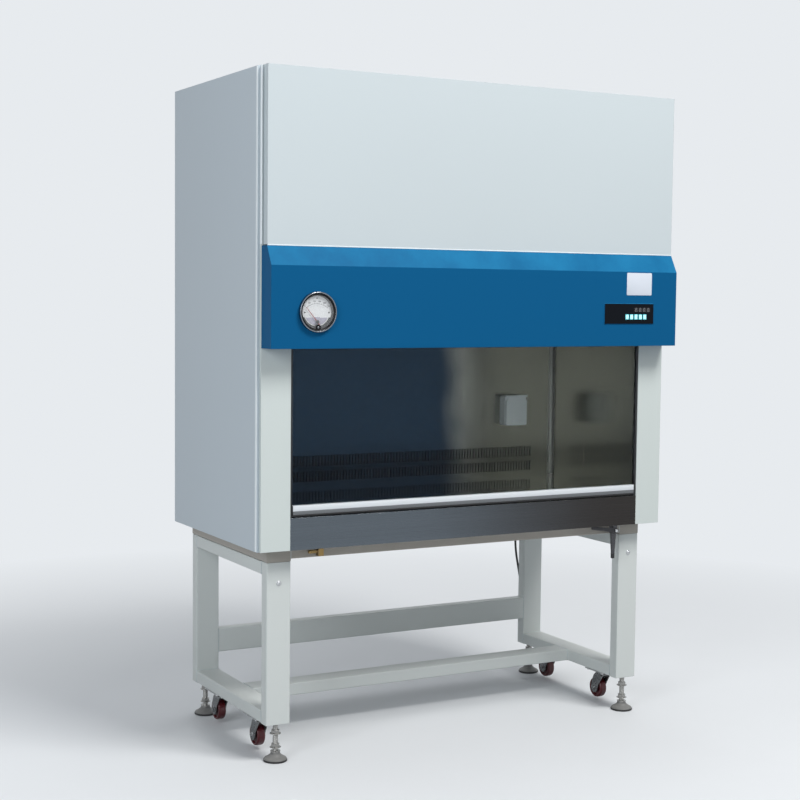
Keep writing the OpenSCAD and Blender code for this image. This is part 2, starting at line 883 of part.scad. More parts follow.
// Outline of the blower's scroll and its outlet, moved in by t
function scroll_outline(t) = concat(
  [for (a = [0:10:scroll_sweep]) scroll_point(a, t)],
  [[t - scroll_end_r, -scroll_end_r - (t > 0 ? 1 : 0)],
   [-scroll_start_r / 2 - t, -scroll_end_r - (t > 0 ? 1 : 0)]]);

// Scroll housing with an inlet on each side, and the bracket that carries the impeller's motor pin
module blower_housing() {
  half_w = housing_w / 2;
  translate([blower_x, y_mid, z_blower])
    color("lightslategray") {
      along_x([-half_w, half_w])
        difference() {
          polygon(scroll_outline(0));
          polygon(scroll_outline(sheet_t));
        }
      for (x = [-half_w, half_w - sheet_t])
        along_x([x, x + sheet_t])
          difference() {
            polygon(scroll_outline(0));
            circle(inlet_r);
          }
      span([half_w, half_w + 4], [-20, 20], [-inlet_r - 18, inlet_r + 18]);
      cylinder_x(motor_pin_d, [0, half_w + 1]);
    }
}

// Outline of one forward-curved blade
function blade_point(s, edge) =
  let (r = impeller_r - blade_depth + s * blade_depth,
    a = 14 * s * s + edge * sheet_t / r * 180 / PI)
  [r * cos(a), r * sin(a)];

module blade() {
  steps = 5;
  polygon(concat(
    [for (i = [0:steps]) blade_point(i / steps, 0)],
    [for (i = [steps:-1:0]) blade_point(i / steps, 1)]));
}

// Drum impeller: blades between two rings, a centre disc and the hub over the motor pin
module blower_impeller() {
  half_w = impeller_w / 2;
  translate([blower_x, y_mid, z_blower])
    color("silver") {
      along_x([-half_w, half_w])
        for (i = [0:blade_n - 1])
          rotate(i * 360 / blade_n) blade();
      for (x = [-half_w, half_w - 3])
        along_x([x, x + 3])
          difference() {
            circle(impeller_r + 1);
            circle(impeller_r - blade_depth - 2);
          }
      along_x([-1, 1])
        difference() {
          circle(impeller_r - 2);
          circle(motor_pin_d / 2 + fit_clear);
        }
      along_x([-30, 40])
        difference() {
          circle(45);
          circle(motor_pin_d / 2 + fit_clear);
        }
    }
}

// Lamp tube between two holders under the ceiling
module lamp(d, y) {
  z = z_ceiling - d / 2 - 9;
  translate([0, y, 0]) {
    translate([0, 0, z]) cylinder_x(d, [-lamp_l / 2, lamp_l / 2]);
    both_sides()
      span([lamp_l / 2, lamp_l / 2 + 22], [-d / 2 - 3, d / 2 + 3], [z - d / 2 - 2, z_ceiling]);
  }
}

// White light at the front, ultraviolet lamp at the back
module lamps() {
  color("white") {
    lamp(lamp_d, y_guide_back + 40);
    lamp(uv_lamp_d, y_rear_wall - 25);
  }
}

// ---- Socket ----

// Housing on the rear wall, with a round socket in its face and the lugs of its cover's hinge
module socket_body() {
  half_w = socket_w / 2;
  z_mid = z_socket + socket_h / 2;
  lug_w = 9;
  color("whitesmoke")
    difference() {
      union() {
        along_y([y_socket, y_rear_wall])
          translate([socket_x, z_mid]) round_rect(socket_w, socket_h, 8);
        for (x = [socket_x - half_w, socket_x + half_w - lug_w])
          span([x, x + lug_w], [y_socket_hinge - 4, y_socket + 1],
            [z_socket_hinge - 4, z_socket_hinge + 4]);
      }
      translate([socket_x, 0, z_mid - 8])
        cylinder_y(42, [y_socket - 1, y_socket + 12]);
      for (x = [-9.5, 9.5])
        translate([socket_x + x, 0, z_mid - 8]) cylinder_y(5, [y_socket + 8, y_socket + 26]);
      translate([0, y_socket_hinge, z_socket_hinge])
        cylinder_x(hinge_pin_d + 2 * fit_clear, [socket_x - half_w - 1, socket_x + half_w + 1]);
    }
}

// Hinged cover with its barrel and pin along the top edge
module socket_cover() {
  half_w = socket_w / 2;
  lug_clear = 9 + pass_clear;
  y = [y_socket - pass_clear - cover_t, y_socket - pass_clear];
  color("white") {
    difference() {
      along_y(y)
        union() {
          translate([socket_x, z_socket + (socket_h - 14) / 2])
            round_rect(socket_w - 4, socket_h - 14, 6);
          translate([socket_x - half_w + lug_clear, z_socket + 20])
            square([socket_w - 2 * lug_clear, z_socket_hinge - z_socket - 20]);
        }
      span([socket_x - half_w + 6, socket_x + half_w - 6], [y[1] - cover_t + 2, y[1] + 1],
        [z_socket + 4, z_socket + socket_h - 24]);
    }
    translate([0, y_socket_hinge, z_socket_hinge]) {
      cylinder_x(cover_t, [socket_x - half_w + lug_clear, socket_x + half_w - lug_clear]);
      cylinder_x(hinge_pin_d, [socket_x - half_w + 1, socket_x + half_w - 1]);
    }
  }
}

// ---- Gauge and control panel ----

// Case with its bezel, dial with the needle's pin, and lens
module gauge() {
  bore_r = gauge_d / 2 - 12;
  case_r = gauge_case_d / 2;
  edge_r = gauge_d / 2;
  translate([gauge_x, y_face, gauge_z])
    rotate([90, 0, 0]) {
      color("silver")
        rotate_extrude()
          polygon([
            [0, -35], [case_r, -35], [case_r, 0], [edge_r, 0], [edge_r, gauge_proud - 5],
            [edge_r - 2, gauge_proud - 1.5], [edge_r - 5, gauge_proud], [bore_r + 2, gauge_proud],
            [bore_r, gauge_proud - 2], [bore_r, -3], [0, -3]]);
      color("white")
        difference() {
          translate([0, 0, -3]) cylinder(r = bore_r - pass_clear, h = 1);
          translate([0, gauge_pivot_z - gauge_z, -4]) cylinder(d = 3, h = 3);
        }
      color("silver")
        translate([0, gauge_pivot_z - gauge_z, -3 + eps]) cylinder(d = 3, h = 7);
      color("lightcyan")
        translate([0, 0, gauge_proud - 2 - lens_t]) cylinder(r = bore_r - pass_clear, h = lens_t);
    }
}

module gauge_needle() {
  translate([gauge_x, y_face - 1, gauge_pivot_z])
    rotate([0, needle_rest, 0])
      color("firebrick")
        difference() {
          union() {
            cylinder_y(9, [-1.6, 0]);
            along_y([-0.8, 0]) polygon([[-1.6, -12], [1.6, -12], [0.4, needle_l], [-0.4, needle_l]]);
          }
          cylinder_y(3 + 2 * fit_clear, [-3, 1]);
        }
}

// Front plate and housing of the controls, with pockets for the buttons and a display window
module control_panel() {
  x = [panel_x, panel_x + panel_w];
  z = [panel_z, panel_z + panel_h];
  pocket_y = [y_face - panel_plate_t - 1, y_face + button_deep + button_travel + 0.5];
  color("black")
    difference() {
      union() {
        span(x, [y_face - panel_plate_t, y_face], z);
        span(inset(x, 4), [y_face - 0.5, y_face + panel_depth], inset(z, 4));
      }
      for (i = [0:4])
        span(inset(button_span(i), -pass_clear), pocket_y,
          [button_z - pass_clear, button_z + button_h + pass_clear]);
      span([panel_x + panel_w - 81, panel_x + panel_w - 12],
        [y_face - panel_plate_t - 1, y_face - panel_plate_t + 0.8],
        [panel_z + panel_h - 27, panel_z + panel_h - 11]);
    }
}

function button_span(i) = [button_x + i * button_pitch, button_x + i * button_pitch + button_w];

module button(i) {
  color("mediumturquoise")
    span(button_span(i), [y_face - panel_plate_t - button_out, y_face + button_deep],
      [button_z, button_z + button_h]);
}

// ---- Stand ----

// Upright leg: a tube with a top cap, a locating pad and a tapped plate at its foot
module stand_leg(y) {
  plate_t = 5;
  translate([x_foot, y, 0]) {
    translate([0, 0, leg_clear])
      linear_extrude(z_leg_top - leg_clear) tube_section(leg_w, leg_d);
    translate([0, 0, leg_clear])
      linear_extrude(plate_t)
        difference() {
          round_rect(leg_w, leg_d, tube_r);
          circle(d = stem_d + 2 * fit_clear);
        }
    translate([0, 0, z_leg_top - plate_t])
      linear_extrude(plate_t) round_rect(leg_w, leg_d, tube_r);
    translate([0, 0, z_leg_top])
      linear_extrude(shadow_gap) round_rect(leg_w - 6, leg_d - 6, tube_r);
  }
}

module side_rail(z) {
  along_y([y_leg_front + leg_d + weld_gap, y_leg_rear - leg_d - weld_gap])
    translate([x_foot, z + side_rail_h / 2]) tube_section(leg_w, side_rail_h);
}

module stand_frame() {
  half_span = x_leg - leg_w - weld_gap;
  color("whitesmoke") {
    both_sides() {
      stand_leg(y_foot_front);
      stand_leg(y_foot_rear);
      side_rail(leg_clear);
      side_rail(z_leg_top - side_rail_h);
    }
    along_x([-half_span, half_span])
      translate([y_foot_rear, z_rear_rail + rear_rail_h / 2]) tube_section(leg_d, rear_rail_h);
    along_x([-half_span, half_span])
      translate([y_cross_rail + cross_rail_w / 2, leg_clear + side_rail_h / 2])
        tube_section(cross_rail_w, side_rail_h);
  }
}

// Frame under the cabinet that seats on the stand's legs
module base_frame() {
  half_span = x_leg - leg_w - weld_gap;
  color("darkgray") {
    both_sides()
      along_y([y_leg_front, y_leg_rear])
        translate([x_foot, z_base + base_h / 2]) tube_section(leg_w, base_h);
    for (y = [y_foot_front, y_foot_rear])
      along_x([-half_span, half_span])
        translate([y, stand_h - base_cross_h / 2]) tube_section(leg_d, base_cross_h);
  }
}

// ---- Casters and feet ----

caster_plate_t = 3;
caster_race_h = 6;
z_axle = wheel_clear + wheel_d / 2;
z_race = leg_clear - caster_plate_t - caster_race_h;
kingpin_d = 12;
fork_gap = 2;
fork_t = 3;

// Moves its children to a caster's swivel axis; side is -1 or 1
module at_caster(side, y) {
  translate([side * x_foot, y, 0]) children();
}

module caster_plate() {
  nut_top = z_race - pass_clear - 6.7 - pass_clear;
  translate([-leg_w / 2, -50, leg_clear - caster_plate_t]) cube([leg_w, 100, caster_plate_t]);
  translate([0, 0, z_race]) cylinder(d = 48, h = caster_race_h + 1);
  translate([0, 0, nut_top - 4]) cylinder(d = kingpin_d, h = z_race - nut_top + 5);
  translate([0, 0, nut_top - 5]) cylinder(d = 21, h = 5, $fn = 6);
}

module caster_plates() {
  color("silver")
    for (side = [-1, 1], y = [y_caster_front, y_caster_rear])
      at_caster(side, y) caster_plate();
}

// Swivel fork with its axle; the legs trail back to the axle
module caster_fork(side, y) {
  top = z_race - pass_clear;
  bridge_z = [top - 6.7, top - 3.7];
  leg_x = wheel_w / 2 + fork_gap;
  color("dimgray")
    at_caster(side, y) {
      difference() {
        union() {
          translate([0, 0, bridge_z[0]]) cylinder(d = 48, h = top - bridge_z[0]);
          span([-leg_x - fork_t, leg_x + fork_t], [-20, 20], bridge_z);
        }
        translate([0, 0, bridge_z[0] - 1])
          cylinder(d = kingpin_d + 2 * fit_clear, h = top - bridge_z[0] + 2);
      }
      for (x = [-leg_x - fork_t, leg_x])
        along_x([x, x + fork_t]) {
          polygon([[-20, bridge_z[1]], [20, bridge_z[1]], [wheel_trail + 9, z_axle],
            [wheel_trail - 9, z_axle]]);
          translate([wheel_trail, z_axle]) circle(9);
        }
      translate([0, wheel_trail, z_axle]) {
        cylinder_x(axle_d, [-leg_x - fork_t - 1, leg_x + fork_t + 1]);
        for (x = [-leg_x - fork_t - 5, leg_x + fork_t])
          along_x([x, x + 5]) circle(axle_d * 0.85, $fn = 6);
      }
    }
}

module caster_wheel(side, y) {
  r = wheel_d / 2;
  half_w = wheel_w / 2;
  hub_w = half_w + fork_gap - 0.5;
  bore_r = axle_d / 2 + fit_clear;
  color("maroon")
    at_caster(side, y)
      translate([0, wheel_trail, z_axle])
        rotate([0, 90, 0])
          rotate_extrude()
            polygon([
              [bore_r, -hub_w], [bore_r + 6, -hub_w], [bore_r + 6, -half_w / 2],
              [r - 9, -half_w / 2], [r - 7, -half_w], [r - 3, -half_w], [r - 0.8, 2.5 - half_w],
              [r, 6 - half_w], [r, half_w - 6], [r - 0.8, half_w - 2.5], [r - 3, half_w],
              [r - 7, half_w], [r - 9, half_w / 2], [bore_r + 6, half_w / 2],
              [bore_r + 6, hub_w], [bore_r, hub_w]]);
}

// Levelling foot: a domed pad, its threaded stem and two nuts
module levelling_foot(side, y) {
  r = foot_d / 2;
  stem_top = leg_clear + 50;
  color("darkgray")
    translate([side * x_foot, y, 0]) {
      rotate_extrude()
        polygon([[0, 0], [r - 2, 0], [r, 2], [r, 7], [r - 2, 10], [r * 0.66, foot_h * 0.52],
          [r * 0.44, foot_h * 0.75], [r * 0.38, foot_h], [0, foot_h]]);
      translate([0, 0, foot_h - 1]) cylinder(d = stem_d, h = stem_top - foot_h + 1);
      for (z = [foot_h + 14, leg_clear - 30])
        translate([0, 0, z]) cylinder(d = stem_d * 1.7, h = 10, $fn = 6);
    }
}

// ---- Services ----

// Drain valve: union nut, ball body, tapered spout and the stem that carries the lever
module drain_valve_body() {
  translate([valve_x, y_service, 0])
    color("silver") {
      rotate_extrude()
        polygon([[0, stand_h - 117], [5, stand_h - 117], [6.5, stand_h - 115], [6.5, stand_h - 102],
          [6, stand_h - 102], [11, stand_h - 31], [13, stand_h - 29], [13, stand_h - 12],
          [11, stand_h - 12], [11, stand_h], [0, stand_h]]);
      translate([0, 0, stand_h - 11]) cylinder(d = 31, h = 8, $fn = 6);
      translate([0, 0, z_valve]) {
        cylinder_y(13, [5 - valve_stem_l, -2]);
        cylinder_y(6, [-valve_stem_l, 4 - valve_stem_l]);
      }
    }
}

module drain_valve_lever() {
  crank = 15;
  half_w = 4;
  translate([valve_x, y_service - valve_stem_l, z_valve])
    color("dimgray")
      along_y([1.5, 5 - pass_clear])
        difference() {
          union() {
            circle(9);
            polygon([[0, 8], [-valve_lever_l, crank + half_w], [-valve_lever_l, crank - half_w],
              [0, -8]]);
          }
          circle(d = 6 + 2 * fit_clear);
        }
}

// Hose fitting: a brass elbow block under the pan with a barbed tail
module service_fitting() {
  block_w = 18;
  z_tail = stand_h - 13;
  translate([-fitting_x, y_service, 0]) {
    color("goldenrod") {
      span([-block_w / 2, block_w / 2], [-9, 9], [stand_h - 27, stand_h - 5]);
      translate([0, 0, stand_h - 6]) cylinder(d = 12, h = 6);
    }
    color("silver")
      translate([-block_w / 2 + eps, 0, z_tail])
        rotate([0, -90, 0])
          rotate_extrude()
            polygon([[0, 0], [5, 0], [5, 6], [6.5, 8], [5, 13], [6.5, 15], [5, 20], [6.5, 22],
              [4.5, 30], [0, 30]]);
  }
}

// ---- Power cord ----

module cord_gland() {
  translate([gland_x, gland_y, stand_h - gland_drop])
    color("dimgray") {
      cylinder(d = gland_d, h = gland_drop + 2);
      translate([0, 0, 3]) cylinder(d = 24, h = gland_drop - 3, $fn = 6);
    }
}

// Catmull-Rom curve through the route's points
function route_point(i) = CORD_ROUTE[max(0, min(len(CORD_ROUTE) - 1, i))];

function spline_point(i, s) =
  let (a = route_point(i - 1), b = route_point(i), c = route_point(i + 1), d = route_point(i + 2))
  (2 * b + (c - a) * s + (2 * a - 5 * b + 4 * c - d) * s * s
    + (3 * b - a - 3 * c + d) * s * s * s) / 2;

cord_path = concat(
  [for (i = [0:len(CORD_ROUTE) - 2], k = [0:cord_steps - 1]) spline_point(i, k / cord_steps)],
  [route_point(len(CORD_ROUTE) - 1)]);

function unit(v) = v / norm(v);

// One ring of the tube, square to the curve
function cord_ring(i) =
  let (last = len(cord_path) - 1,
    ahead = unit(cord_path[min(last, i + 1)] - cord_path[max(0, i - 1)]),
    u = unit(cross(ahead, [1, 0, 0])),
    v = cross(ahead, u))
  [for (k = [0:cord_sides - 1])
    cord_path[i] + cord_d / 2 * (cos(k * 360 / cord_sides) * u + sin(k * 360 / cord_sides) * v)];

module cord_run() {
  rings = len(cord_path);
  n = cord_sides;
  color("dimgray")
    polyhedron(
      points = [for (i = [0:rings - 1]) each cord_ring(i)],
      faces = concat(
        [[for (k = [0:n - 1]) k]],
        [for (i = [0:rings - 2], k = [0:n - 1])
          each [[i * n + k, (i + 1) * n + k, (i + 1) * n + (k + 1) % n],
            [i * n + k, (i + 1) * n + (k + 1) % n, i * n + (k + 1) % n]]],
        [[for (k = [n - 1:-1:0]) (rings - 1) * n + k]]));
}

module cord_coil() {
  color("dimgray")
    translate([coil_x, coil_y, 0])
      rotate_extrude()
        translate([coil_r - coil_band / 2, 0]) square([coil_band, coil_h]);
}

// Plug that lies on the coil: body, cord tail and two round pins
module power_plug() {
  body_l = 34;
  body_w = 30;
  body_h = 24;
  tail_l = 22;
  translate([coil_x + 6, coil_y - 34, coil_h])
    color("dimgray") {
      along_x([0, body_l]) translate([0, body_h / 2]) round_rect(body_w, body_h, 6);
      translate([0, 0, body_h / 2]) cylinder_x(cord_d, [-tail_l, 1]);
      for (y = [-9.5, 9.5])
        translate([0, y, body_h / 2]) cylinder_x(4.8, [body_l - 1, body_l + 19]);
    }
}

// ---- Nodes ----

side_panel_left();
side_panel_right();
rear_panel();
top_panel();
base_pan();
base_frame();
pillar_left();
pillar_right();
upper_cover();
fascia();
plenum_box();
chamber_back();
chamber_sides();
ceiling_diffuser();
work_tray();
intake_grille();
front_apron();
sash_guides();
sash_drive();
drive_belts();
supply_filter();
exhaust_filter();
blower_housing();
lamps();
socket_body();
gauge();
control_panel();
stand_frame();
caster_plates();
drain_valve_body();
service_fitting();
cord_gland();
cord_run();
cord_coil();
power_plug();
sash_glass();
sash_rails();
drive_shaft();
idler_pulleys();
blower_impeller();
socket_cover();
gauge_needle();
button(0);  // button_1
button(1);  // button_2
button(2);  // button_3
button(3);  // button_4
button(4);  // button_5
caster_fork(-1, y_caster_front);  // caster_fork_front_left
caster_fork(1, y_caster_front);  // caster_fork_front_right
caster_fork(-1, y_caster_rear);  // caster_fork_rear_left
caster_fork(1, y_caster_rear);  // caster_fork_rear_right
caster_wheel(-1, y_caster_front);  // caster_wheel_front_left
caster_wheel(1, y_caster_front);  // caster_wheel_front_right
caster_wheel(-1, y_caster_rear);  // caster_wheel_rear_left
caster_wheel(1, y_caster_rear);  // caster_wheel_rear_right
drain_valve_lever();
levelling_foot(-1, y_foot_front);  // foot_front_left
levelling_foot(1, y_foot_front);  // foot_front_right
levelling_foot(-1, y_foot_rear);  // foot_rear_left
levelling_foot(1, y_foot_rear);  // foot_rear_right
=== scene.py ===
"""Looks of a class II biosafety cabinet on its stand: finishes, small pieces, light and camera.

Everything is in metres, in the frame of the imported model: +X to the user's right, +Y to the
back, +Z up, with the origin on the floor below the middle of the cabinet.
"""
import logging
import math
from dataclasses import dataclass
from enum import Enum
from typing import Callable, Iterable, Sequence

import bmesh
import bpy
from mathutils import Matrix, Vector


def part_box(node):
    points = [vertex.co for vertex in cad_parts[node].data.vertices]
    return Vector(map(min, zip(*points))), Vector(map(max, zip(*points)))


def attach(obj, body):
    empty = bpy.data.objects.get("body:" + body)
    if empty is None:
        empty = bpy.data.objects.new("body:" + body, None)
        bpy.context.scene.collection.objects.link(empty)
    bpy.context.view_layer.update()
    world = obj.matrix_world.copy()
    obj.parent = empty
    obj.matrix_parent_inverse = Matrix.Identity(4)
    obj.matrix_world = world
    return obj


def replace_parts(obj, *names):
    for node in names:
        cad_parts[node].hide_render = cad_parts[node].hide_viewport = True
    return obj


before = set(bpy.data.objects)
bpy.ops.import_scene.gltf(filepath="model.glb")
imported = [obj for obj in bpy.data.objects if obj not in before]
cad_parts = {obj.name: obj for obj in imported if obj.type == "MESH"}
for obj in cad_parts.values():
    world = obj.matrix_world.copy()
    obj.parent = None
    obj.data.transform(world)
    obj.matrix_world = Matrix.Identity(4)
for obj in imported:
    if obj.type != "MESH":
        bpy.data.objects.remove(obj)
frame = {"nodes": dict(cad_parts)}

log = logging.getLogger("cabinet")

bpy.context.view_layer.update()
CABINET = "cabinet"
MM = 0.001
FASCIA_Y = -0.386
LEG_X = 0.658
LEG_FRONT_Y = -0.261
LEG_REAR_Y = 0.368
CASTER_Y = {"front": -0.127, "rear": 0.201}

Point = Sequence[float]
Pair = tuple[float, float]
Triple = tuple[float, float, float]
Outline = Sequence[Pair]
Color = Triple
Socket = bpy.types.NodeSocket
Sockets = dict[str, Socket]


def show(made: bpy.types.Object) -> None:
    """Links an object to the scene."""
    bpy.context.scene.collection.objects.link(made)


# ---- Node groups ----


class Board:
    """A node tree that is being wired."""

    def __init__(self, tree: bpy.types.NodeTree) -> None:
        """Keeps the tree that the nodes go into."""
        self.tree = tree

    def node(self, kind: str, **settings: object) -> bpy.types.Node:
        """Adds a node.

        Args:
            kind: The node's type name without its ShaderNode prefix.
            **settings: Properties of the node.

        Returns:
            The new node.
        """
        made = self.tree.nodes.new("ShaderNode" + kind)
        for name, value in settings.items():
            setattr(made, name, value)
        return made

    def feed(self, node: bpy.types.Node, **values: object) -> bpy.types.Node:
        """Sets or links a node's inputs.

        Args:
            node: The node.
            **values: For each input, its name with underscores for spaces, or i and its number.
                A value is a number, a colour, or a socket to link from.

        Returns:
            The same node.
        """
        for name, value in values.items():
            key = int(name[1:]) if name[0] == "i" and name[1:].isdigit() else name.replace("_", " ")
            socket = node.inputs[key]
            if isinstance(value, Socket):
                self.tree.links.new(value, socket)
            elif isinstance(value, tuple) and len(value) == 3 and socket.type == "RGBA":
                socket.default_value = (*value, 1.0)
            else:
                socket.default_value = value
        return node

    def math(self, operation: str, a: object, b: object) -> Socket:
        """Adds a Math node.

        Args:
            operation: Blender's name of the operation.
            a: First operand, a number or a socket.
            b: Second operand.

        Returns:
            Its value output.
        """
        return self.feed(self.node("Math", operation=operation), i0=a, i1=b).outputs[0]

    def vector(self, operation: str, a: object, b: object = (0.0, 0.0, 0.0)) -> Socket:
        """Adds a Vector Math node.

        Args:
            operation: Blender's name of the operation.
            a: First operand, a vector or a socket.
            b: Second operand.

        Returns:
            Its value output where it gives a number, and else its vector output.
        """
        made = self.feed(self.node("VectorMath", operation=operation), i0=a, i1=b)
        return made.outputs["Value" if operation in ("DOT_PRODUCT", "LENGTH") else "Vector"]

    def here(self) -> Socket:
        """Where the shaded point lies in its piece's own frame."""
        return self.node("TexCoord").outputs["Object"]

    def along(self, vector: object, axis: int) -> Socket:
        """One number of a vector: 0 for X, 1 for Y and 2 for Z."""
        return self.feed(self.node("SeparateXYZ"), Vector=vector).outputs[axis]

    def ramp(self, value: object, low: float, high: float, to_low: float = 0.0, to_high: float = 1.0,
             smooth: bool = False) -> Socket:
        """Adds a clamped Map Range node.

        Args:
            value: The value to map.
            low: Value that gives to_low.
            high: Value that gives to_high.
            to_low: Result at low.
            to_high: Result at high.
            smooth: Whether it starts and ends gently.

        Returns:
            Its result output.
        """
        made = self.node("MapRange", clamp=True, interpolation_type="SMOOTHSTEP" if smooth else "LINEAR")
        return self.feed(made, i0=value, i1=low, i2=high, i3=to_low, i4=to_high).outputs[0]

    def swing(self, value: object, width: object) -> Socket:
        """A value from 0 to 1 as a swing about zero, as wide as told."""
        return self.math("MULTIPLY", self.math("SUBTRACT", value, 0.5), width)

    def toned(self, color: object, swing: object) -> Socket:
        """A colour made lighter or darker by a swing about zero."""
        made = self.node("VectorMath", operation="SCALE")
        return self.feed(made, i0=color, Scale=self.math("ADD", 1.0, swing)).outputs[0]

    def mix(self, factor: object, a: object, b: object) -> Socket:
        """Adds a colour Mix node.

        Args:
            factor: How much of b.
            a: First colour.
            b: Second colour.

        Returns:
            Its colour output.
        """
        return self.feed(self.node("Mix", data_type="RGBA"), i0=factor, i6=a, i7=b).outputs[2]

    def looked_at(self) -> Socket:
        """Adds a mask of what the camera sees, straight or through gloss or glass.

        Returns:
            The mask.
        """
        rays = self.node("LightPath").outputs
        bounced = self.math("MAXIMUM", rays["Is Glossy Ray"], rays["Is Transmission Ray"])
        return self.math("MAXIMUM", rays["Is Camera Ray"], bounced)

    def noise(self, vector: object, scale: object, detail: float = 3.0,
              rough: float = 0.5) -> Socket:
        """Adds a Noise Texture node.

        Args:
            vector: Where it is read.
            scale: Its scale.
            detail: Its detail.
            rough: Its roughness.

        Returns:
            Its factor output.
        """
        made = self.node("TexNoise")
        return self.feed(made, Vector=vector, Scale=scale, Detail=detail, Roughness=rough).outputs[0]


OUTPUT_KINDS = {"Color": "Color", "Normal": "Vector", "Height": "Float", "Roughness": "Float",
                "Mask": "Float"}


def group(name: str, inputs: dict[str, object], outputs: Sequence[str],
          wire: Callable[[Board, Sockets], Sockets]) -> bpy.types.NodeTree:
    """Makes a shader node group.

    Args:
        name: Its name.
        inputs: Standard value of each input: a number, a vector of three or a colour of four.
        outputs: Its outputs, whose kinds are in OUTPUT_KINDS.
        wire: Wires the nodes, given the board and the input sockets, and returns the outputs.

    Returns:
        The group.
    """
    tree = bpy.data.node_groups.new(name, "ShaderNodeTree")
    for key, value in inputs.items():
        kind = "Float" if isinstance(value, float) else {3: "Vector", 4: "Color"}[len(value)]
        socket = tree.interface.new_socket(key, in_out="INPUT", socket_type="NodeSocket" + kind)
        socket.default_value = value
    for key in outputs:
        tree.interface.new_socket(key, in_out="OUTPUT", socket_type="NodeSocket" + OUTPUT_KINDS[key])
    source = tree.nodes.new("NodeGroupInput")
    sink = tree.nodes.new("NodeGroupOutput")
    made = wire(Board(tree), {s.name: s for s in source.outputs if s.name})
    for key, socket in made.items():
        tree.links.new(socket, sink.inputs[key])
    return tree


def wire_coat(b: Board, s: Sockets) -> Sockets:
    """Orange peel of a baked coat, with slow drift of its tone and gloss.

    Args:
        b: The group's board.
        s: The group's inputs.

    Returns:
        The group's outputs.
    """
    at = b.here()
    peel = b.noise(at, s["Peel scale"], 2.0, 0.55)
    waves = b.noise(at, b.math("MULTIPLY", s["Peel scale"], 0.22), 2.0, 0.5)
    drift = b.noise(at, s["Drift scale"], 2.0, 0.5)
    return {"Color": b.toned(s["Color"], b.swing(drift, s["Drift"])),
            "Height": b.math("ADD", b.math("MULTIPLY", peel, 0.6), b.math("MULTIPLY", waves, 0.4)),
            "Roughness": b.math("ADD", s["Roughness"], b.swing(waves, 0.10))}


def wire_edges(b: Board, s: Sockets) -> Sockets:
    """Softened folds, and a broken mask along them for a coat's wear and for painted edge highlights.

    Args:
        b: The group's board.
        s: The group's inputs.

    Returns:
        The group's outputs.
    """
    soft = b.feed(b.node("Bevel", samples=4), Radius=s["Radius"]).outputs[0]
    true = b.node("NewGeometry").outputs["Normal"]
    off = b.math("SUBTRACT", 1.0, b.vector("DOT_PRODUCT", soft, true))
    broken = b.ramp(b.noise(b.here(), 55.0, 4.0, 0.65), 0.42, 0.62)
    return {"Normal": soft, "Mask": b.math("MULTIPLY", b.ramp(off, 0.02, 0.18), broken)}


def wire_dust_and_highlight(b: Board, s: Sockets) -> Sockets:
    """Mask in clouds on faces that look up: thin dust, and on the fascia a painted highlight.

    Args:
        b: The group's board.
        s: The group's inputs.

    Returns:
        The group's outputs.
    """
    up = b.ramp(b.along(b.node("NewGeometry").outputs["Normal"], 2), 0.35, 0.95)
    cloud = b.ramp(b.noise(b.here(), s["Scale"], 5.0, 0.6), 0.35, 0.75, 0.35, 1.0)
    return {"Mask": b.math("MULTIPLY", b.math("MULTIPLY", up, cloud), s["Amount"])}


def wire_brushing(b: Board, s: Sockets) -> Sockets:
    """Fine lines of a belt-ground sheet along one direction, with broader faint bands.

    Args:
        b: The group's board.
        s: The group's inputs.

    Returns:
        The group's outputs.
    """
    at = b.here()
    stretched = b.vector("MULTIPLY", at, s["Stretch"])
    fine = b.noise(stretched, 1.0, 3.0, 0.6)
    broad = b.noise(stretched, 0.06, 2.0, 0.5)
    cloud = b.noise(at, 3.0, 3.0, 0.55)
    lines = b.math("ADD", b.swing(fine, 1.0), b.swing(broad, 0.8))
    rough = b.math("ADD", b.swing(fine, 0.16), b.swing(cloud, 0.14))
    return {"Color": b.toned(s["Color"], b.math("MULTIPLY", s["Contrast"], lines)),
            "Roughness": b.math("ADD", s["Roughness"], rough), "Height": fine}


def wire_painted_reflection(b: Board, s: Sockets) -> Sockets:
    """Painted reflection: colour that passes slowly from one reflected tone at one end of a sheet to
    another.

    Args:
        b: The group's board.
        s: The group's inputs.

    Returns:
        The group's outputs.
    """
    at = b.here()
    cloud = b.swing(b.noise(at, 2.2, 3.0, 0.5), 0.30)
    share = b.ramp(b.math("ADD", b.along(at, 0), cloud), s["Start"], s["End"], smooth=True)
    return {"Color": b.mix(share, s["Color"], s["Far color"])}


def wire_grain(b: Board, s: Sockets) -> Sockets:
    """Spark-eroded grain of a moulding, with a little drift of its gloss.

    Args:
        b: The group's board.
        s: The group's inputs.

    Returns:
        The group's outputs.
    """
    at = b.here()
    cells = b.feed(b.node("TexVoronoi"), Vector=at, Scale=s["Scale"]).outputs["Distance"]
    speck = b.noise(at, b.math("MULTIPLY", s["Scale"], 0.7), 2.0, 0.6)
    handled = b.noise(at, 9.0, 3.0, 0.6)
    return {"Height": b.math("ADD", b.math("MULTIPLY", cells, 0.5), b.math("MULTIPLY", speck, 0.5)),
            "Roughness": b.math("ADD", s["Roughness"], b.swing(handled, 0.16))}


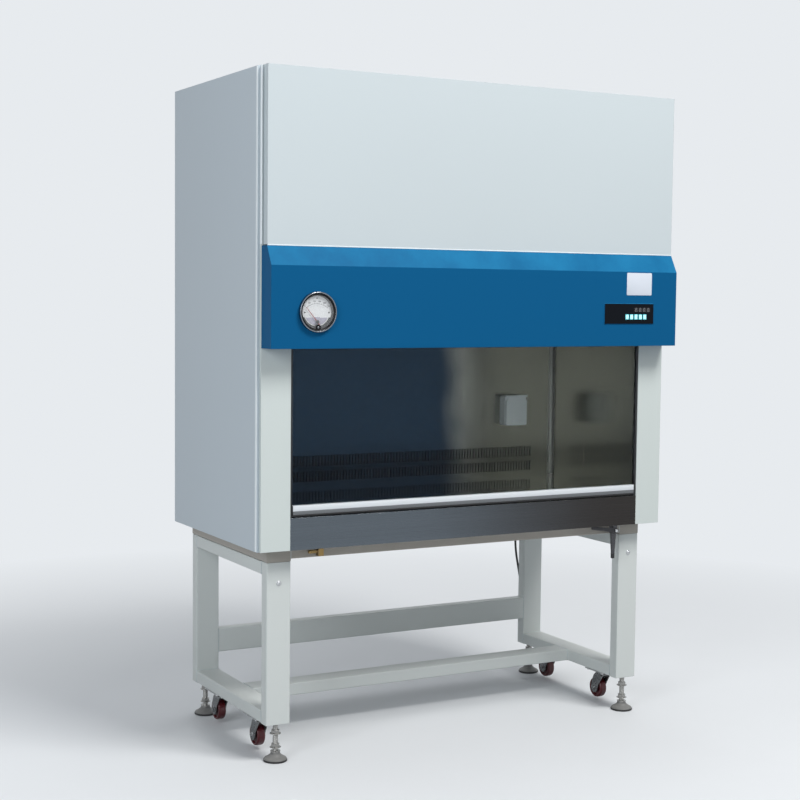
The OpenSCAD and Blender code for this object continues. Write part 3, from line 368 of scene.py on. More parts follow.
def wire_spangle(b: Board, s: Sockets) -> Sockets:
    """Crystal patches of a zinc coat, each with its own tone.

    Args:
        b: The group's board.
        s: The group's inputs.

    Returns:
        The group's outputs.
    """
    at = b.here()
    patches = b.feed(b.node("TexVoronoi"), Vector=at, Scale=s["Scale"])
    split = b.feed(b.node("SeparateColor"), Color=patches.outputs["Color"]).outputs
    fog = b.noise(at, b.math("MULTIPLY", s["Scale"], 2.5), 3.0, 0.6)
    crystals = b.math("ADD", b.swing(split[0], 1.0), b.swing(fog, 1.0))
    return {"Color": b.toned(s["Color"], b.math("MULTIPLY", s["Contrast"], crystals)),
            "Roughness": b.math("ADD", s["Roughness"], b.swing(split[1], 0.16))}


def wire_smears(b: Board, s: Sockets) -> Sockets:
    """Roughness of a wiped pane: long faint arcs and a few dull patches.

    Args:
        b: The group's board.
        s: The group's inputs.

    Returns:
        The group's outputs.
    """
    at = b.here()
    bent = b.feed(b.node("Mapping"), Vector=at, Rotation=(0.0, 0.5, 0.0), Scale=(1.2, 1.0, 7.0))
    wiped = b.ramp(b.noise(bent.outputs[0], 3.0, 4.0, 0.6), 0.50, 0.80)
    patch = b.ramp(b.noise(at, 6.0, 4.0, 0.6), 0.58, 0.80)
    dull = b.math("MULTIPLY", b.math("ADD", wiped, patch), s["Amount"])
    return {"Roughness": b.math("ADD", s["Roughness"], dull)}


def wire_level(b: Board, s: Sockets) -> Sockets:
    """Mask that is 1 above a height on the piece and 0 below it.

    Args:
        b: The group's board.
        s: The group's inputs.

    Returns:
        The group's outputs.
    """
    gap = b.math("SUBTRACT", b.along(b.here(), 2), s["Height"])
    return {"Mask": b.ramp(gap, -0.0004, 0.0004)}


def wire_ring(b: Board, s: Sockets) -> Sockets:
    """Mask that is 1 outside a radius about an axis along X through a point.

    Args:
        b: The group's board.
        s: The group's inputs.

    Returns:
        The group's outputs.
    """
    away = b.vector("SUBTRACT", b.here(), s["Centre"])
    across = b.vector("LENGTH", b.vector("MULTIPLY", away, (0.0, 1.0, 1.0)))
    return {"Mask": b.ramp(b.math("SUBTRACT", across, s["Radius"]), -0.0003, 0.0003)}


GREY = (0.6, 0.6, 0.6, 1.0)

GROUPS = {
    "coat": group("baked_coat", {"Color": GREY, "Roughness": 0.4, "Peel scale": 700.0, "Drift": 0.04,
                                 "Drift scale": 1.6}, ("Color", "Roughness", "Height"), wire_coat),
    "edges": group("worn_edges", {"Radius": 0.0012}, ("Normal", "Mask"), wire_edges),
    "dust_and_highlight": group("settled_dust", {"Amount": 0.2, "Scale": 7.0}, ("Mask",), wire_dust_and_highlight),
    "brushing": group("belt_ground", {"Color": GREY, "Roughness": 0.3, "Stretch": (8.0, 8.0, 900.0),
                                      "Contrast": 0.2}, ("Color", "Roughness", "Height"), wire_brushing),
    "across": group("dulled_across", {"Color": GREY, "Far color": GREY, "Start": -0.5, "End": 0.5},
                    ("Color",), wire_painted_reflection),
    "grain": group("moulded_grain", {"Roughness": 0.45, "Scale": 900.0}, ("Height", "Roughness"),
                   wire_grain),
    "spangle": group("zinc_spangle", {"Color": GREY, "Roughness": 0.35, "Scale": 70.0, "Contrast": 0.2},
                     ("Color", "Roughness"), wire_spangle),
    "smears": group("wiped_pane", {"Roughness": 0.02, "Amount": 0.08}, ("Roughness",), wire_smears),
    "level": group("above_level", {"Height": 0.03}, ("Mask",), wire_level),
    "ring": group("outside_radius", {"Centre": (0.0, 0.0, 0.0), "Radius": 0.03}, ("Mask",), wire_ring),
}


# ---- Finishes ----


class MaterialBoard(Board):
    """The node tree of one material, with its Principled shader."""

    def __init__(self, name: str) -> None:
        """Makes an empty material.

        Args:
            name: The material's name.
        """
        self.material = bpy.data.materials.new(name)
        self.material.use_nodes = True
        super().__init__(self.material.node_tree)
        self.tree.nodes.clear()
        self.shader = self.node("BsdfPrincipled")
        self.out = self.node("OutputMaterial")
        self.tree.links.new(self.shader.outputs[0], self.out.inputs["Surface"])

    def place(self, key: str, **values: object) -> Sockets:
        """Places a node group.

        Args:
            key: Its name in GROUPS.
            **values: Its inputs, as for feed.

        Returns:
            Its outputs by name.
        """
        made = self.feed(self.node("Group", node_tree=GROUPS[key]), **values)
        return {o.name: o for o in made.outputs}

    def bump(self, height: Socket, depth: float, strength: float, normal: Socket | None = None) -> None:
        """Adds a Bump node and links it to the shader.

        Args:
            height: Where its height comes from.
            depth: The height's full swing in metres.
            strength: How strongly it shows.
            normal: The normal that it starts from.
        """
        made = self.feed(self.node("Bump"), Strength=strength, Distance=depth, Height=height)
        if normal is not None:
            self.feed(made, Normal=normal)
        self.feed(self.shader, Normal=made.outputs[0])


@dataclass(frozen=True)
class Finish:
    """What every finish has: a name, a colour and a roughness."""

    name: str
    color: Color
    roughness: float

    def make(self) -> bpy.types.Material:
        """Makes the material.

        Returns:
            The material.
        """
        board = MaterialBoard(self.name)
        self.wire(board)
        return board.material

    def wire(self, b: MaterialBoard) -> None:
        """Wires the shader, which each kind of finish does in its own way."""
        raise NotImplementedError


@dataclass(frozen=True)
class BakedCoat(Finish):
    """Powder coat or stoved paint on sheet metal."""

    peel: float = 0.00006
    peel_scale: float = 650.0
    drift: float = 0.035
    fold_radius: float = 0.0014
    # Edges pass into a second colour through the edge mask: real wear on the lever, frame, motor and such,
    # and a painted highlight on the panels, front, pillars, fascia and stand.
    edge_wear_and_highlight_amount: float = 0.25
    edge_wear_and_highlight: Color = (0.55, 0.56, 0.57)
    dust_and_highlight: float = 0.16
    dust_and_highlight_color: Color = (0.50, 0.49, 0.46)
    specular: float = 0.5

    def wire(self, b: MaterialBoard) -> None:
        """Wires the shader.

        Args:
            b: The material's board.
        """
        coat = b.place("coat", Color=self.color, Roughness=self.roughness, Peel_scale=self.peel_scale,
                       Drift=self.drift)
        edges = b.place("edges", Radius=self.fold_radius)
        dust_and_highlight = b.place("dust_and_highlight", Amount=self.dust_and_highlight)
        edge_wear_and_highlight = b.math("MULTIPLY", edges["Mask"], self.edge_wear_and_highlight_amount)
        color = b.mix(edge_wear_and_highlight, coat["Color"], self.edge_wear_and_highlight)
        # On the fascia this mask paints a highlight, a lighter blue on its upward-tilted strip; on other
        # coats it is thin dust.
        color = b.mix(dust_and_highlight["Mask"], color, self.dust_and_highlight_color)
        rough = b.math("ADD", coat["Roughness"], b.math("MULTIPLY", dust_and_highlight["Mask"], 0.4))
        b.feed(b.shader, Base_Color=color, Roughness=rough, Specular_IOR_Level=self.specular)
        b.bump(coat["Height"], self.peel, 0.45, edges["Normal"])


@dataclass(frozen=True)
class BrushedMetal(Finish):
    """Belt-ground or drawn metal, with its lines along one direction."""

    stretch: Triple = (8.0, 900.0, 900.0)
    contrast: float = 0.22
    depth: float = 0.00002
    fold_radius: float = 0.001
    metallic: float = 1.0
    anisotropy: float = 0.35
    edge_share: float = 0.35
    edge_color: Color = (0.78, 0.79, 0.80)
    # Painted reflection: a second colour that the base passes into along X, across the span.
    far_color: Color | None = None
    reflection_span: Pair = (-0.3, 0.3)

    def wire(self, b: MaterialBoard) -> None:
        """Wires the shader.

        Args:
            b: The material's board.
        """
        base = self.color
        # Painted reflection: the base runs along X from one reflected tone into another.
        if self.far_color is not None:
            base = b.place("across", Color=self.color, Far_color=self.far_color, Start=self.reflection_span[0],
                           End=self.reflection_span[1])["Color"]
        lines = b.place("brushing", Color=base, Roughness=self.roughness, Stretch=self.stretch,
                        Contrast=self.contrast)
        edges = b.place("edges", Radius=self.fold_radius)
        color = b.mix(b.math("MULTIPLY", edges["Mask"], self.edge_share), lines["Color"], self.edge_color)
        b.feed(b.shader, Base_Color=color, Roughness=lines["Roughness"], Metallic=self.metallic,
               Anisotropic=self.anisotropy)
        b.bump(lines["Height"], self.depth, 0.4, edges["Normal"])


@dataclass(frozen=True)
class ZincPlate(Finish):
    """Galvanised sheet or bright zinc plate."""

    scale: float = 70.0
    contrast: float = 0.2
    metallic: float = 1.0
    fold_radius: float = 0.0006
    dust_and_highlight: float = 0.1
    dust_and_highlight_color: Color = (0.30, 0.29, 0.27)
    edge_share: float = 0.0
    edge_color: Color = (0.66, 0.67, 0.68)

    def wire(self, b: MaterialBoard) -> None:
        """Wires the shader.

        Args:
            b: The material's board.
        """
        zinc = b.place("spangle", Color=self.color, Roughness=self.roughness, Scale=self.scale,
                       Contrast=self.contrast)
        edges = b.place("edges", Radius=self.fold_radius)
        dust_and_highlight = b.place("dust_and_highlight", Amount=self.dust_and_highlight, Scale=30.0)
        color = b.mix(dust_and_highlight["Mask"], zinc["Color"], self.dust_and_highlight_color)
        # Edge mask: painted highlights, lightening the edges of the dark forks and the thread stems.
        color = b.mix(b.math("MULTIPLY", edges["Mask"], self.edge_share), color, self.edge_color)
        b.feed(b.shader, Base_Color=color, Roughness=zinc["Roughness"], Metallic=self.metallic,
               Normal=edges["Normal"])


@dataclass(frozen=True)
class Moulding(Finish):
    """Moulded plastic or rubber."""

    grain: float = 0.00003
    grain_scale: float = 900.0
    fold_radius: float = 0.0007
    dust_and_highlight: float = 0.08
    dust_and_highlight_color: Color = (0.42, 0.41, 0.39)
    specular: float = 0.5

    def wire(self, b: MaterialBoard) -> None:
        """Wires the shader.

        Args:
            b: The material's board.
        """
        grain = b.place("grain", Roughness=self.roughness, Scale=self.grain_scale)
        coat = b.place("coat", Color=self.color, Drift=0.06, Drift_scale=14.0)
        edges = b.place("edges", Radius=self.fold_radius)
        dust_and_highlight = b.place("dust_and_highlight", Amount=self.dust_and_highlight, Scale=40.0)
        color = b.mix(dust_and_highlight["Mask"], coat["Color"], self.dust_and_highlight_color)
        b.feed(b.shader, Base_Color=color, Roughness=grain["Roughness"], Specular_IOR_Level=self.specular)
        b.bump(grain["Height"], self.grain, 0.35, edges["Normal"])


@dataclass(frozen=True)
class Pane(Finish):
    """Clear glass: a solid pane that bends light, or a thin cover that hides little under it."""

    smears: float = 0.05
    ior: float = 1.5
    clear: float = 1.0
    alpha: float = 1.0

    def wire(self, b: MaterialBoard) -> None:
        """Wires the shader.

        Args:
            b: The material's board.
        """
        wiped = b.place("smears", Roughness=self.roughness, Amount=self.smears)
        b.feed(b.shader, Base_Color=self.color, Roughness=wiped["Roughness"], IOR=self.ior,
               Transmission_Weight=self.clear, Alpha=self.alpha)


@dataclass(frozen=True)
class TwoTone(Finish):
    """A turned part whose lower part has another finish than its upper part."""

    lower: Color = (0.2, 0.2, 0.2)
    lower_roughness: float = 0.6
    level: float = 0.03
    dust_and_highlight_color: Color = (0.36, 0.35, 0.33)

    def wire(self, b: MaterialBoard) -> None:
        """Wires the shader.

        Args:
            b: The material's board.
        """
        above = b.place("level", Height=self.level)["Mask"]
        zinc = b.place("spangle", Color=self.color, Roughness=self.roughness, Scale=160.0, Contrast=0.16)
        grain = b.place("grain", Roughness=self.lower_roughness, Scale=500.0)
        edges = b.place("edges", Radius=0.0008)
        dust_and_highlight = b.place("dust_and_highlight", Amount=0.3, Scale=40.0)
        low = b.mix(dust_and_highlight["Mask"], self.lower, self.dust_and_highlight_color)
        color = b.mix(above, low, zinc["Color"])
        rough = b.node("Mix", data_type="FLOAT")
        b.feed(rough, i0=above, i2=grain["Roughness"], i3=zinc["Roughness"])
        b.feed(b.shader, Base_Color=color, Roughness=rough.outputs[0], Metallic=above)
        b.bump(grain["Height"], 0.00005, 0.3, edges["Normal"])


@dataclass(frozen=True)
class WheelFinish(Finish):
    """A cast tread round a hub of another colour, about an axis along X."""

    hub: Color = (0.25, 0.26, 0.27)
    centre: Triple = (0.0, 0.0, 0.0)
    hub_radius: float = 0.014
    scuffed: Color = (0.28, 0.10, 0.10)

    def wire(self, b: MaterialBoard) -> None:
        """Wires the shader.

        Args:
            b: The material's board.
        """
        out = b.place("ring", Centre=self.centre, Radius=self.hub_radius)["Mask"]
        grain = b.place("grain", Roughness=self.roughness, Scale=600.0)
        coat = b.place("coat", Color=self.color, Drift=0.15, Drift_scale=22.0)
        edges = b.place("edges", Radius=0.001)
        scuff = b.math("MULTIPLY", edges["Mask"], 0.35)
        tread = b.mix(scuff, coat["Color"], self.scuffed)
        color = b.mix(out, self.hub, tread)
        metal = b.math("SUBTRACT", 1.0, out)
        b.feed(b.shader, Base_Color=color, Roughness=grain["Roughness"], Metallic=metal)
        b.bump(grain["Height"], 0.00004, 0.3, edges["Normal"])


@dataclass(frozen=True)
class Paper(Finish):
    """Pleated glass-fibre paper or printed card."""

    fibre_scale: float = 420.0

    def wire(self, b: MaterialBoard) -> None:
        """Wires the shader.

        Args:
            b: The material's board.
        """
        coat = b.place("coat", Color=self.color, Drift=0.08, Drift_scale=25.0, Roughness=self.roughness,
                       Peel_scale=self.fibre_scale)
        b.feed(b.shader, Base_Color=coat["Color"], Roughness=coat["Roughness"])
        b.bump(coat["Height"], 0.00006, 0.4)


@dataclass(frozen=True)
class LitFace(Finish):
    """A key cap or a digit with a painted glow: it emits a little of its own colour."""

    strength: float = 0.6

    def wire(self, b: MaterialBoard) -> None:
        """Wires the shader.

        Args:
            b: The material's board.
        """
        grain = b.place("grain", Roughness=self.roughness, Scale=700.0)
        coat = b.place("coat", Color=self.color, Drift=0.25, Drift_scale=60.0)
        b.feed(b.shader, Base_Color=coat["Color"], Roughness=grain["Roughness"],
               Emission_Color=coat["Color"], Emission_Strength=self.strength)


# Painted reflection: the dark navy reflected tone of the chamber steel, and the span along X where it turns
# lighter.
STEEL_PAINTED_DARK_REFLECTION = (0.020, 0.038, 0.062)
STEEL_REFLECTION_SPAN = (0.18, 0.36)
UPRIGHT = (160.0, 160.0, 1.2)
LENGTHWISE = (6.0, 700.0, 700.0)
# Painted highlight: the pale edge colour of the front and pillar coats.
PAINTED_EDGE_HIGHLIGHT = (0.88, 0.91, 0.93)


@dataclass(frozen=True)
class Palette:
    """Every finish of the cabinet, by what it is on."""

    # Painted shade and light: panel, front and pillar coats are one paint. The panel copy is darker and
    # bluer for the shade on the sides, and the pillar copy is lighter. All three lighten their edges as
    # painted highlights.
    panel: Finish = BakedCoat("panel_coat", (0.56, 0.635, 0.69), 0.42, edge_wear_and_highlight_amount=0.5, edge_wear_and_highlight=(0.86, 0.90, 0.93))
    front: Finish = BakedCoat("front_coat", (0.61, 0.675, 0.70), 0.40, edge_wear_and_highlight_amount=0.5, edge_wear_and_highlight=PAINTED_EDGE_HIGHLIGHT)
    pillar: Finish = BakedCoat("pillar_coat", (0.675, 0.735, 0.715), 0.40, edge_wear_and_highlight_amount=0.5, edge_wear_and_highlight=PAINTED_EDGE_HIGHLIGHT)
    # Painted highlight: the bright coat of the beads along the cover's hem and the front edges.
    bead: Finish = BakedCoat("bead_coat", (0.86, 0.92, 0.95), 0.36, fold_radius=0.0003, dust_and_highlight=0.02)
    # Painted highlight: the fascia's upward-tilted strip is lightened to a brighter blue through the
    # upward-face mask, and its edges to a lighter blue.
    blue: Finish = BakedCoat("fascia_coat", (0.006, 0.108, 0.262), 0.38, peel=0.00004, edge_wear_and_highlight_amount=0.14,
                             edge_wear_and_highlight=(0.05, 0.32, 0.55), dust_and_highlight=1.8, dust_and_highlight_color=(0.035, 0.36, 0.66),
                             specular=0.03)
    # Painted highlight: the stand's edges are lightened.
    stand: Finish = BakedCoat("stand_coat", (0.69, 0.728, 0.712), 0.42, edge_wear_and_highlight_amount=0.4, dust_and_highlight=0.2,
                              edge_wear_and_highlight=(0.84, 0.87, 0.88))
    # Painted reflection: coving, chamber and tray steel pass from a dark navy reflected tone on the left to
    # a lighter warm grey on the right. The apron passes from blue-grey to dark brown-grey.
    coving: Finish = BrushedMetal("coving_steel", STEEL_PAINTED_DARK_REFLECTION, 0.46, UPRIGHT, contrast=0.16,
                                  depth=0.0000004, far_color=(0.25, 0.245, 0.22), reflection_span=STEEL_REFLECTION_SPAN)
    steel: Finish = BrushedMetal("chamber_steel", STEEL_PAINTED_DARK_REFLECTION, 0.22, UPRIGHT, contrast=0.16,
                                 depth=0.0000004, far_color=(0.365, 0.36, 0.315), reflection_span=STEEL_REFLECTION_SPAN)
    tray_steel: Finish = BrushedMetal("tray_steel", (0.024, 0.038, 0.055), 0.09, (3.0, 400.0, 400.0),
                                      contrast=0.14, depth=0.0000006, far_color=(0.46, 0.455, 0.40),
                                      reflection_span=STEEL_REFLECTION_SPAN)
    apron_steel: Finish = BrushedMetal("apron_steel", (0.125, 0.145, 0.165), 0.27, (3.0, 500.0, 500.0),
                                       contrast=0.22, far_color=(0.048, 0.044, 0.042), reflection_span=(-0.35, 0.55))
    sheet: Finish = ZincPlate("galvanised_sheet", (0.55, 0.57, 0.58), 0.38, scale=45.0)
    rail: Finish = BrushedMetal("rail_aluminium", (0.66, 0.70, 0.73), 0.36, LENGTHWISE, contrast=0.08,
                                metallic=0.35)
    rail_face: Finish = BrushedMetal("rail_face", (0.80, 0.84, 0.87), 0.40, LENGTHWISE, contrast=0.06,
                                     metallic=0.15)
    guide: Finish = BrushedMetal("guide_black", (0.020, 0.021, 0.024), 0.42, (700.0, 700.0, 6.0),
                                 contrast=0.2, metallic=0.2)
    pane: Finish = Pane("sash_pane", (0.86, 0.89, 0.90), 0.005, smears=0.01, ior=1.14)
    lens: Finish = Pane("gauge_lens", (0.90, 0.93, 0.95), 0.04, clear=0.0, alpha=0.08)
    lamp: Finish = Moulding("lamp_tube", (0.82, 0.84, 0.84), 0.22, grain=0.00001, dust_and_highlight=0.02)
    lamp_end: Finish = BrushedMetal("lamp_end", (0.60, 0.61, 0.62), 0.35)
    paper: Finish = Paper("filter_paper", (0.80, 0.79, 0.72), 0.85)
    belt: Finish = Moulding("belt_rubber", (0.02, 0.02, 0.021), 0.62)
    motor: Finish = BakedCoat("motor_coat", (0.11, 0.13, 0.15), 0.4, fold_radius=0.002)
    white: Finish = Moulding("white_moulding", (0.80, 0.84, 0.83), 0.38)
    bezel: Finish = BrushedMetal("gauge_bezel", (0.25, 0.268, 0.29), 0.17, (60.0, 500.0, 60.0),
                                 contrast=0.1, fold_radius=0.0004)
    black: Finish = Moulding("black_moulding", (0.010, 0.010, 0.012), 0.38, dust_and_highlight=0.02, specular=0.14)
    dial: Finish = Paper("dial_card", (0.80, 0.815, 0.82), 0.45, 900.0)
    ink: Finish = Moulding("dial_ink", (0.015, 0.015, 0.018), 0.5, grain=0.000001, dust_and_highlight=0.0)
    mask: Finish = Moulding("dial_mask", (0.42, 0.41, 0.50), 0.35, dust_and_highlight=0.02)
    needle: Finish = BakedCoat("needle_lacquer", (0.30, 0.025, 0.02), 0.35, fold_radius=0.0001, dust_and_highlight=0.0)
    film: Finish = Moulding("panel_film", (0.006, 0.0075, 0.011), 0.24, grain=0.00001, fold_radius=0.0008,
                            dust_and_highlight=0.01, specular=0.06)
    window: Finish = Moulding("display_window", (0.010, 0.009, 0.011), 0.10, grain=0.000004, dust_and_highlight=0.01,
                              specular=0.2)
    # Painted glow: the unlit digits, the key caps and their centres emit a little of their own colour.
    digit: Finish = LitFace("unlit_digit", (0.17, 0.17, 0.18), 0.3, strength=0.25)
    key: Finish = LitFace("key_cap", (0.10, 0.55, 0.62), 0.35, strength=0.35)
    key_core: Finish = LitFace("key_core", (0.46, 0.86, 0.93), 0.3, strength=0.5)
    label: Finish = Moulding("label_film", (0.71, 0.76, 0.84), 0.32, grain=0.00001, dust_and_highlight=0.02)
    zinc: Finish = ZincPlate("zinc_plate", (0.56, 0.57, 0.58), 0.30, scale=180.0, contrast=0.14)
    # Painted highlight: nearly every edge of the dark forks is lightened to pale zinc.
    fork: Finish = ZincPlate("fork_plate", (0.17, 0.175, 0.18), 0.30, scale=140.0, contrast=0.3,
                             metallic=0.8, fold_radius=0.0022, dust_and_highlight=0.2, edge_share=0.95)
    # Painted shade: the rail's lip is dark grey for the shade under the rail's face.
    lip: Finish = BrushedMetal("rail_lip", (0.17, 0.18, 0.19), 0.40, LENGTHWISE, contrast=0.1,
                               metallic=0.4)
    foot: Finish = TwoTone("foot_iron", (0.32, 0.315, 0.305), 0.34, lower=(0.17, 0.17, 0.165),
                           lower_roughness=0.55, level=0.0285)
    brass: Finish = BrushedMetal("brass", (0.30, 0.205, 0.085), 0.32, (400.0, 400.0, 30.0), contrast=0.12)
    valve: Finish = TwoTone("valve_nickel", (0.085, 0.085, 0.09), 0.32, lower=(0.012, 0.012, 0.013),
                            lower_roughness=0.5, level=0.561)
    lever: Finish = BakedCoat("lever_dip", (0.018, 0.018, 0.022), 0.38, peel=0.00008, edge_wear_and_highlight_amount=0.5, dust_and_highlight=0.1)
    sheath: Finish = Moulding("cord_sheath", (0.013, 0.013, 0.014), 0.48, grain_scale=1500.0)
    nylon: Finish = Moulding("gland_nylon", (0.05, 0.053, 0.058), 0.46)
    pin: Finish = BrushedMetal("plug_pin", (0.70, 0.66, 0.52), 0.24, (30.0, 500.0, 500.0), contrast=0.1)
    seal: Finish = Moulding("wiper_rubber", (0.014, 0.014, 0.015), 0.6)
    # Painted shade: the base frame takes a dim brown-grey copy of the stand paint, for the shade under the
    # cabinet.
    frame: Finish = BakedCoat("frame_coat", (0.43, 0.40, 0.355), 0.45, edge_wear_and_highlight_amount=0.3, dust_and_highlight=0.3)
    # Painted highlight: the edges of the stems' threads and collars are lightened.
    stud: Finish = ZincPlate("stud_plate", (0.36, 0.355, 0.34), 0.30, scale=160.0, contrast=0.2,
                             fold_radius=0.0010, dust_and_highlight=0.2, edge_share=0.6)
    weld: Finish = BakedCoat("weld_coat", (0.64, 0.70, 0.71), 0.40, peel=0.0003, peel_scale=380.0,
                             fold_radius=0.0008, dust_and_highlight=0.3)


PALETTE = Palette()
MADE: dict[str, bpy.types.Material] = {}


def finish_of(key: str) -> bpy.types.Material:
    """Makes a finish of the palette once.

    Args:
        key: The finish's field in Palette.

    Returns:
        Its material.
    """
    if key not in MADE:
        MADE[key] = getattr(PALETTE, key).make()
    return MADE[key]


def dress(finish: str, *nodes: str) -> None:
    """Gives CAD nodes a finish.

    Args:
        finish: The finish's field in Palette.
        *nodes: Names of the nodes.
    """
    for name in nodes:
        for place in frame["nodes"][name].material_slots:
            place.material = finish_of(finish)


# ---- Meshes ----


class Axis(Enum):
    """The direction that a turned or drawn shape's own axis points in."""

    X = "x"
    Y = "y"
    Z = "z"
    FRONT = "front"
    LEFT = "left"
    DOWN = "down"

    def turn(self) -> Matrix:
        """Finds the rotation from the shape's own frame, where the axis is +Z, to the model's.

        Returns:
            The rotation.
        """
        quarter = math.pi / 2
        turns = {
            Axis.X: (quarter, "Y"), Axis.LEFT: (-quarter, "Y"), Axis.Y: (-quarter, "X"),
            Axis.FRONT: (quarter, "X"), Axis.Z: (0.0, "Z"), Axis.DOWN: (math.pi, "X"),
        }
        angle, about = turns[self]
        return Matrix.Rotation(angle, 4, about)


def place_at(point: Point, axis: Axis = Axis.Z, spin: float = 0.0) -> Matrix:
    """Placement of a shape.

    Args:
        point: Where its origin goes, in metres.
        axis: Where its own +Z points.
        spin: Turn about its own axis in radians.

    Returns:
        The matrix from its frame to the model's.
    """
    return Matrix.Translation(Vector(point)) @ axis.turn() @ Matrix.Rotation(spin, 4, "Z")


class Shape:
    """A mesh that is being built from turned, drawn and swept forms."""

    def __init__(self) -> None:
        """Starts an empty mesh."""
        self.bm = bmesh.new()

    def ring(self, points: Iterable[Point]) -> list[bmesh.types.BMVert]:
        """Adds points, and gives their vertices."""
        return [self.bm.verts.new(p) for p in points]

    def section(self, outline: Outline, height: float, place: Matrix) -> list[bmesh.types.BMVert]:
        """Adds the corners of a flat section.

        Args:
            outline: Its corners.
            height: Where it lies along its own +Z.
            place: Its placement.

        Returns:
            Its vertices.
        """
        return self.ring(place @ Vector((x, y, height)) for x, y in outline)

    def skin(self, rings: Sequence[Sequence[bmesh.types.BMVert]], ends: bool = False,
             closed: bool = False) -> "Shape":
        """Joins sections with faces, each to the next.

        Args:
            rings: The sections' vertices, as many in each.
            ends: Whether the first and the last section get a face.
            closed: Whether the last section is joined to the first, as round a frame.

        Returns:
            This shape.
        """
        if ends:
            self.bm.faces.new(rings[0][::-1])
            self.bm.faces.new(rings[-1])
        for a, b in zip(rings, [*rings[1:], rings[0]] if closed else rings[1:]):
            for i in range(len(a)):
                j = (i + 1) % len(a)
                self.bm.faces.new([a[i], a[j], b[j], b[i]])
        return self

    def box(self, low: Point, high: Point, radius: float) -> "Shape":
        """Adds a block with rounded edges.

        Args:
            low: Its lowest corner.
            high: Its highest corner.
            radius: Radius of its edges.

        Returns:
            This shape.
        """
        low, high = Vector(low), Vector(high)
        made = bmesh.ops.create_cube(self.bm, size=1.0)["verts"]
        for v in made:
            v.co = Vector([(low[i] + high[i]) / 2 + v.co[i] * (high[i] - low[i]) for i in range(3)])
        edges = list({e for v in made for e in v.link_edges})
        bmesh.ops.bevel(self.bm, geom=edges, offset=radius, segments=2, affect="EDGES", profile=0.5)
        return self

    def lathe(self, profile: Outline, place: Matrix, steps: int = 40) -> "Shape":
        """Adds a turned form.

        Args:
            profile: Radius and height of each point, from one end to the other.
            place: Its placement.
            steps: Faces round it, 6 for a hexagon.

        Returns:
            This shape.
        """
        turns = [2 * math.pi * i / steps for i in range(steps)]
        rings = []
        for r, h in profile:
            circle = [(r * math.cos(t), r * math.sin(t)) for t in turns] if r > 0 else [(0.0, 0.0)]
            rings.append(self.section(circle, h, place))
        for a, b in zip(rings, rings[1:]):
            for i in range(steps):
                j = (i + 1) % steps
                corners = dict.fromkeys([a[i % len(a)], a[j % len(a)], b[j % len(b)], b[i % len(b)]])
                if len(corners) > 2:
                    self.bm.faces.new(list(corners))
        return self

    def prism(self, outline: Outline, depth: float, place: Matrix) -> "Shape":
        """Adds a straight form with one section.

        Args:
            outline: Corners of the section, anticlockwise.
            depth: Its length along its own +Z.
            place: Its placement.

        Returns:
            This shape.
        """
        ends = [self.section(outline, height, place) for height in (0.0, depth)]
        return self.skin(ends, ends=True)

    def plate(self, centre: Point, size: Triple, radius: float, edge: float,
              axis: Axis = Axis.FRONT) -> "Shape":
        """Adds a flat plate with round corners and a softened front edge.

        Args:
            centre: Middle of its back face.
            size: Its width, height and thickness.
            radius: Radius of its corners.
            edge: Width of the softening at its front.
            axis: Where its front faces.

        Returns:
            This shape.
        """
        width, height, thick = size
        place = place_at(centre, axis)
        rows = [(0.0, 0.0), (thick - edge, 0.0), (thick - edge * 0.3, edge * 0.3), (thick, edge)]
        rings = []
        for depth, cut in rows:
            outline = rounded(width - 2 * cut, height - 2 * cut, max(radius - cut, 0.0001))
            rings.append(self.section(outline, depth, place))
        return self.skin(rings, ends=True)

    def sweep(self, path: Sequence[Vector], radius: Callable[[float], float], sides: int) -> "Shape":
        """Adds a closed tube along a path.

        Args:
            path: Its points.
            radius: Its radius, as a function of the share of its length.
            sides: Faces round it.

        Returns:
            This shape.
        """
        up = Vector((0, 0, 1)) if abs((path[1] - path[0]).normalized().z) < 0.9 else Vector((1, 0, 0))
        turns = [2 * math.pi * k / sides for k in range(sides)]
        rings = []
        for i, p in enumerate(path):
            ahead = (path[min(i + 1, len(path) - 1)] - path[max(i - 1, 0)]).normalized()
            side = ahead.cross(up).normalized()
            up = side.cross(ahead).normalized()
            r = radius(i / (len(path) - 1))
            rings.append(self.ring(p + r * (math.cos(t) * side + math.sin(t) * up) for t in turns))
        return self.skin(rings, ends=True)

    def screw(self, place: Matrix, radius: float, height: float) -> "Shape":
        """Adds a domed screw head with a six-sided socket.

        Args:
            place: Its placement, with its own origin under the head.
            radius: Its radius.
            height: Its height.

        Returns:
            This shape.
        """
        r, h = radius, height
        return self.lathe([(0, h * 0.35), (r * 0.44, h * 0.35), (r * 0.48, h * 0.96), (r * 0.62, h),
                           (r * 0.84, h * 0.82), (r * 0.97, h * 0.45), (r, 0.0), (0, 0.0)], place, 18)

    def hex(self, place: Matrix, across: float, height: float) -> "Shape":
        """Adds a hexagon nut or head with chamfered corners.

        Args:
            place: Its placement, with its own origin at its foot.
            across: Its width across the flats.
            height: Its height.

        Returns:
            This shape.
        """
        r = across / math.sqrt(3)
        return self.lathe([(0, 0), (r * 0.9, 0), (r, height * 0.14), (r, height * 0.86),
                           (r * 0.9, height), (0, height)], place, 6)

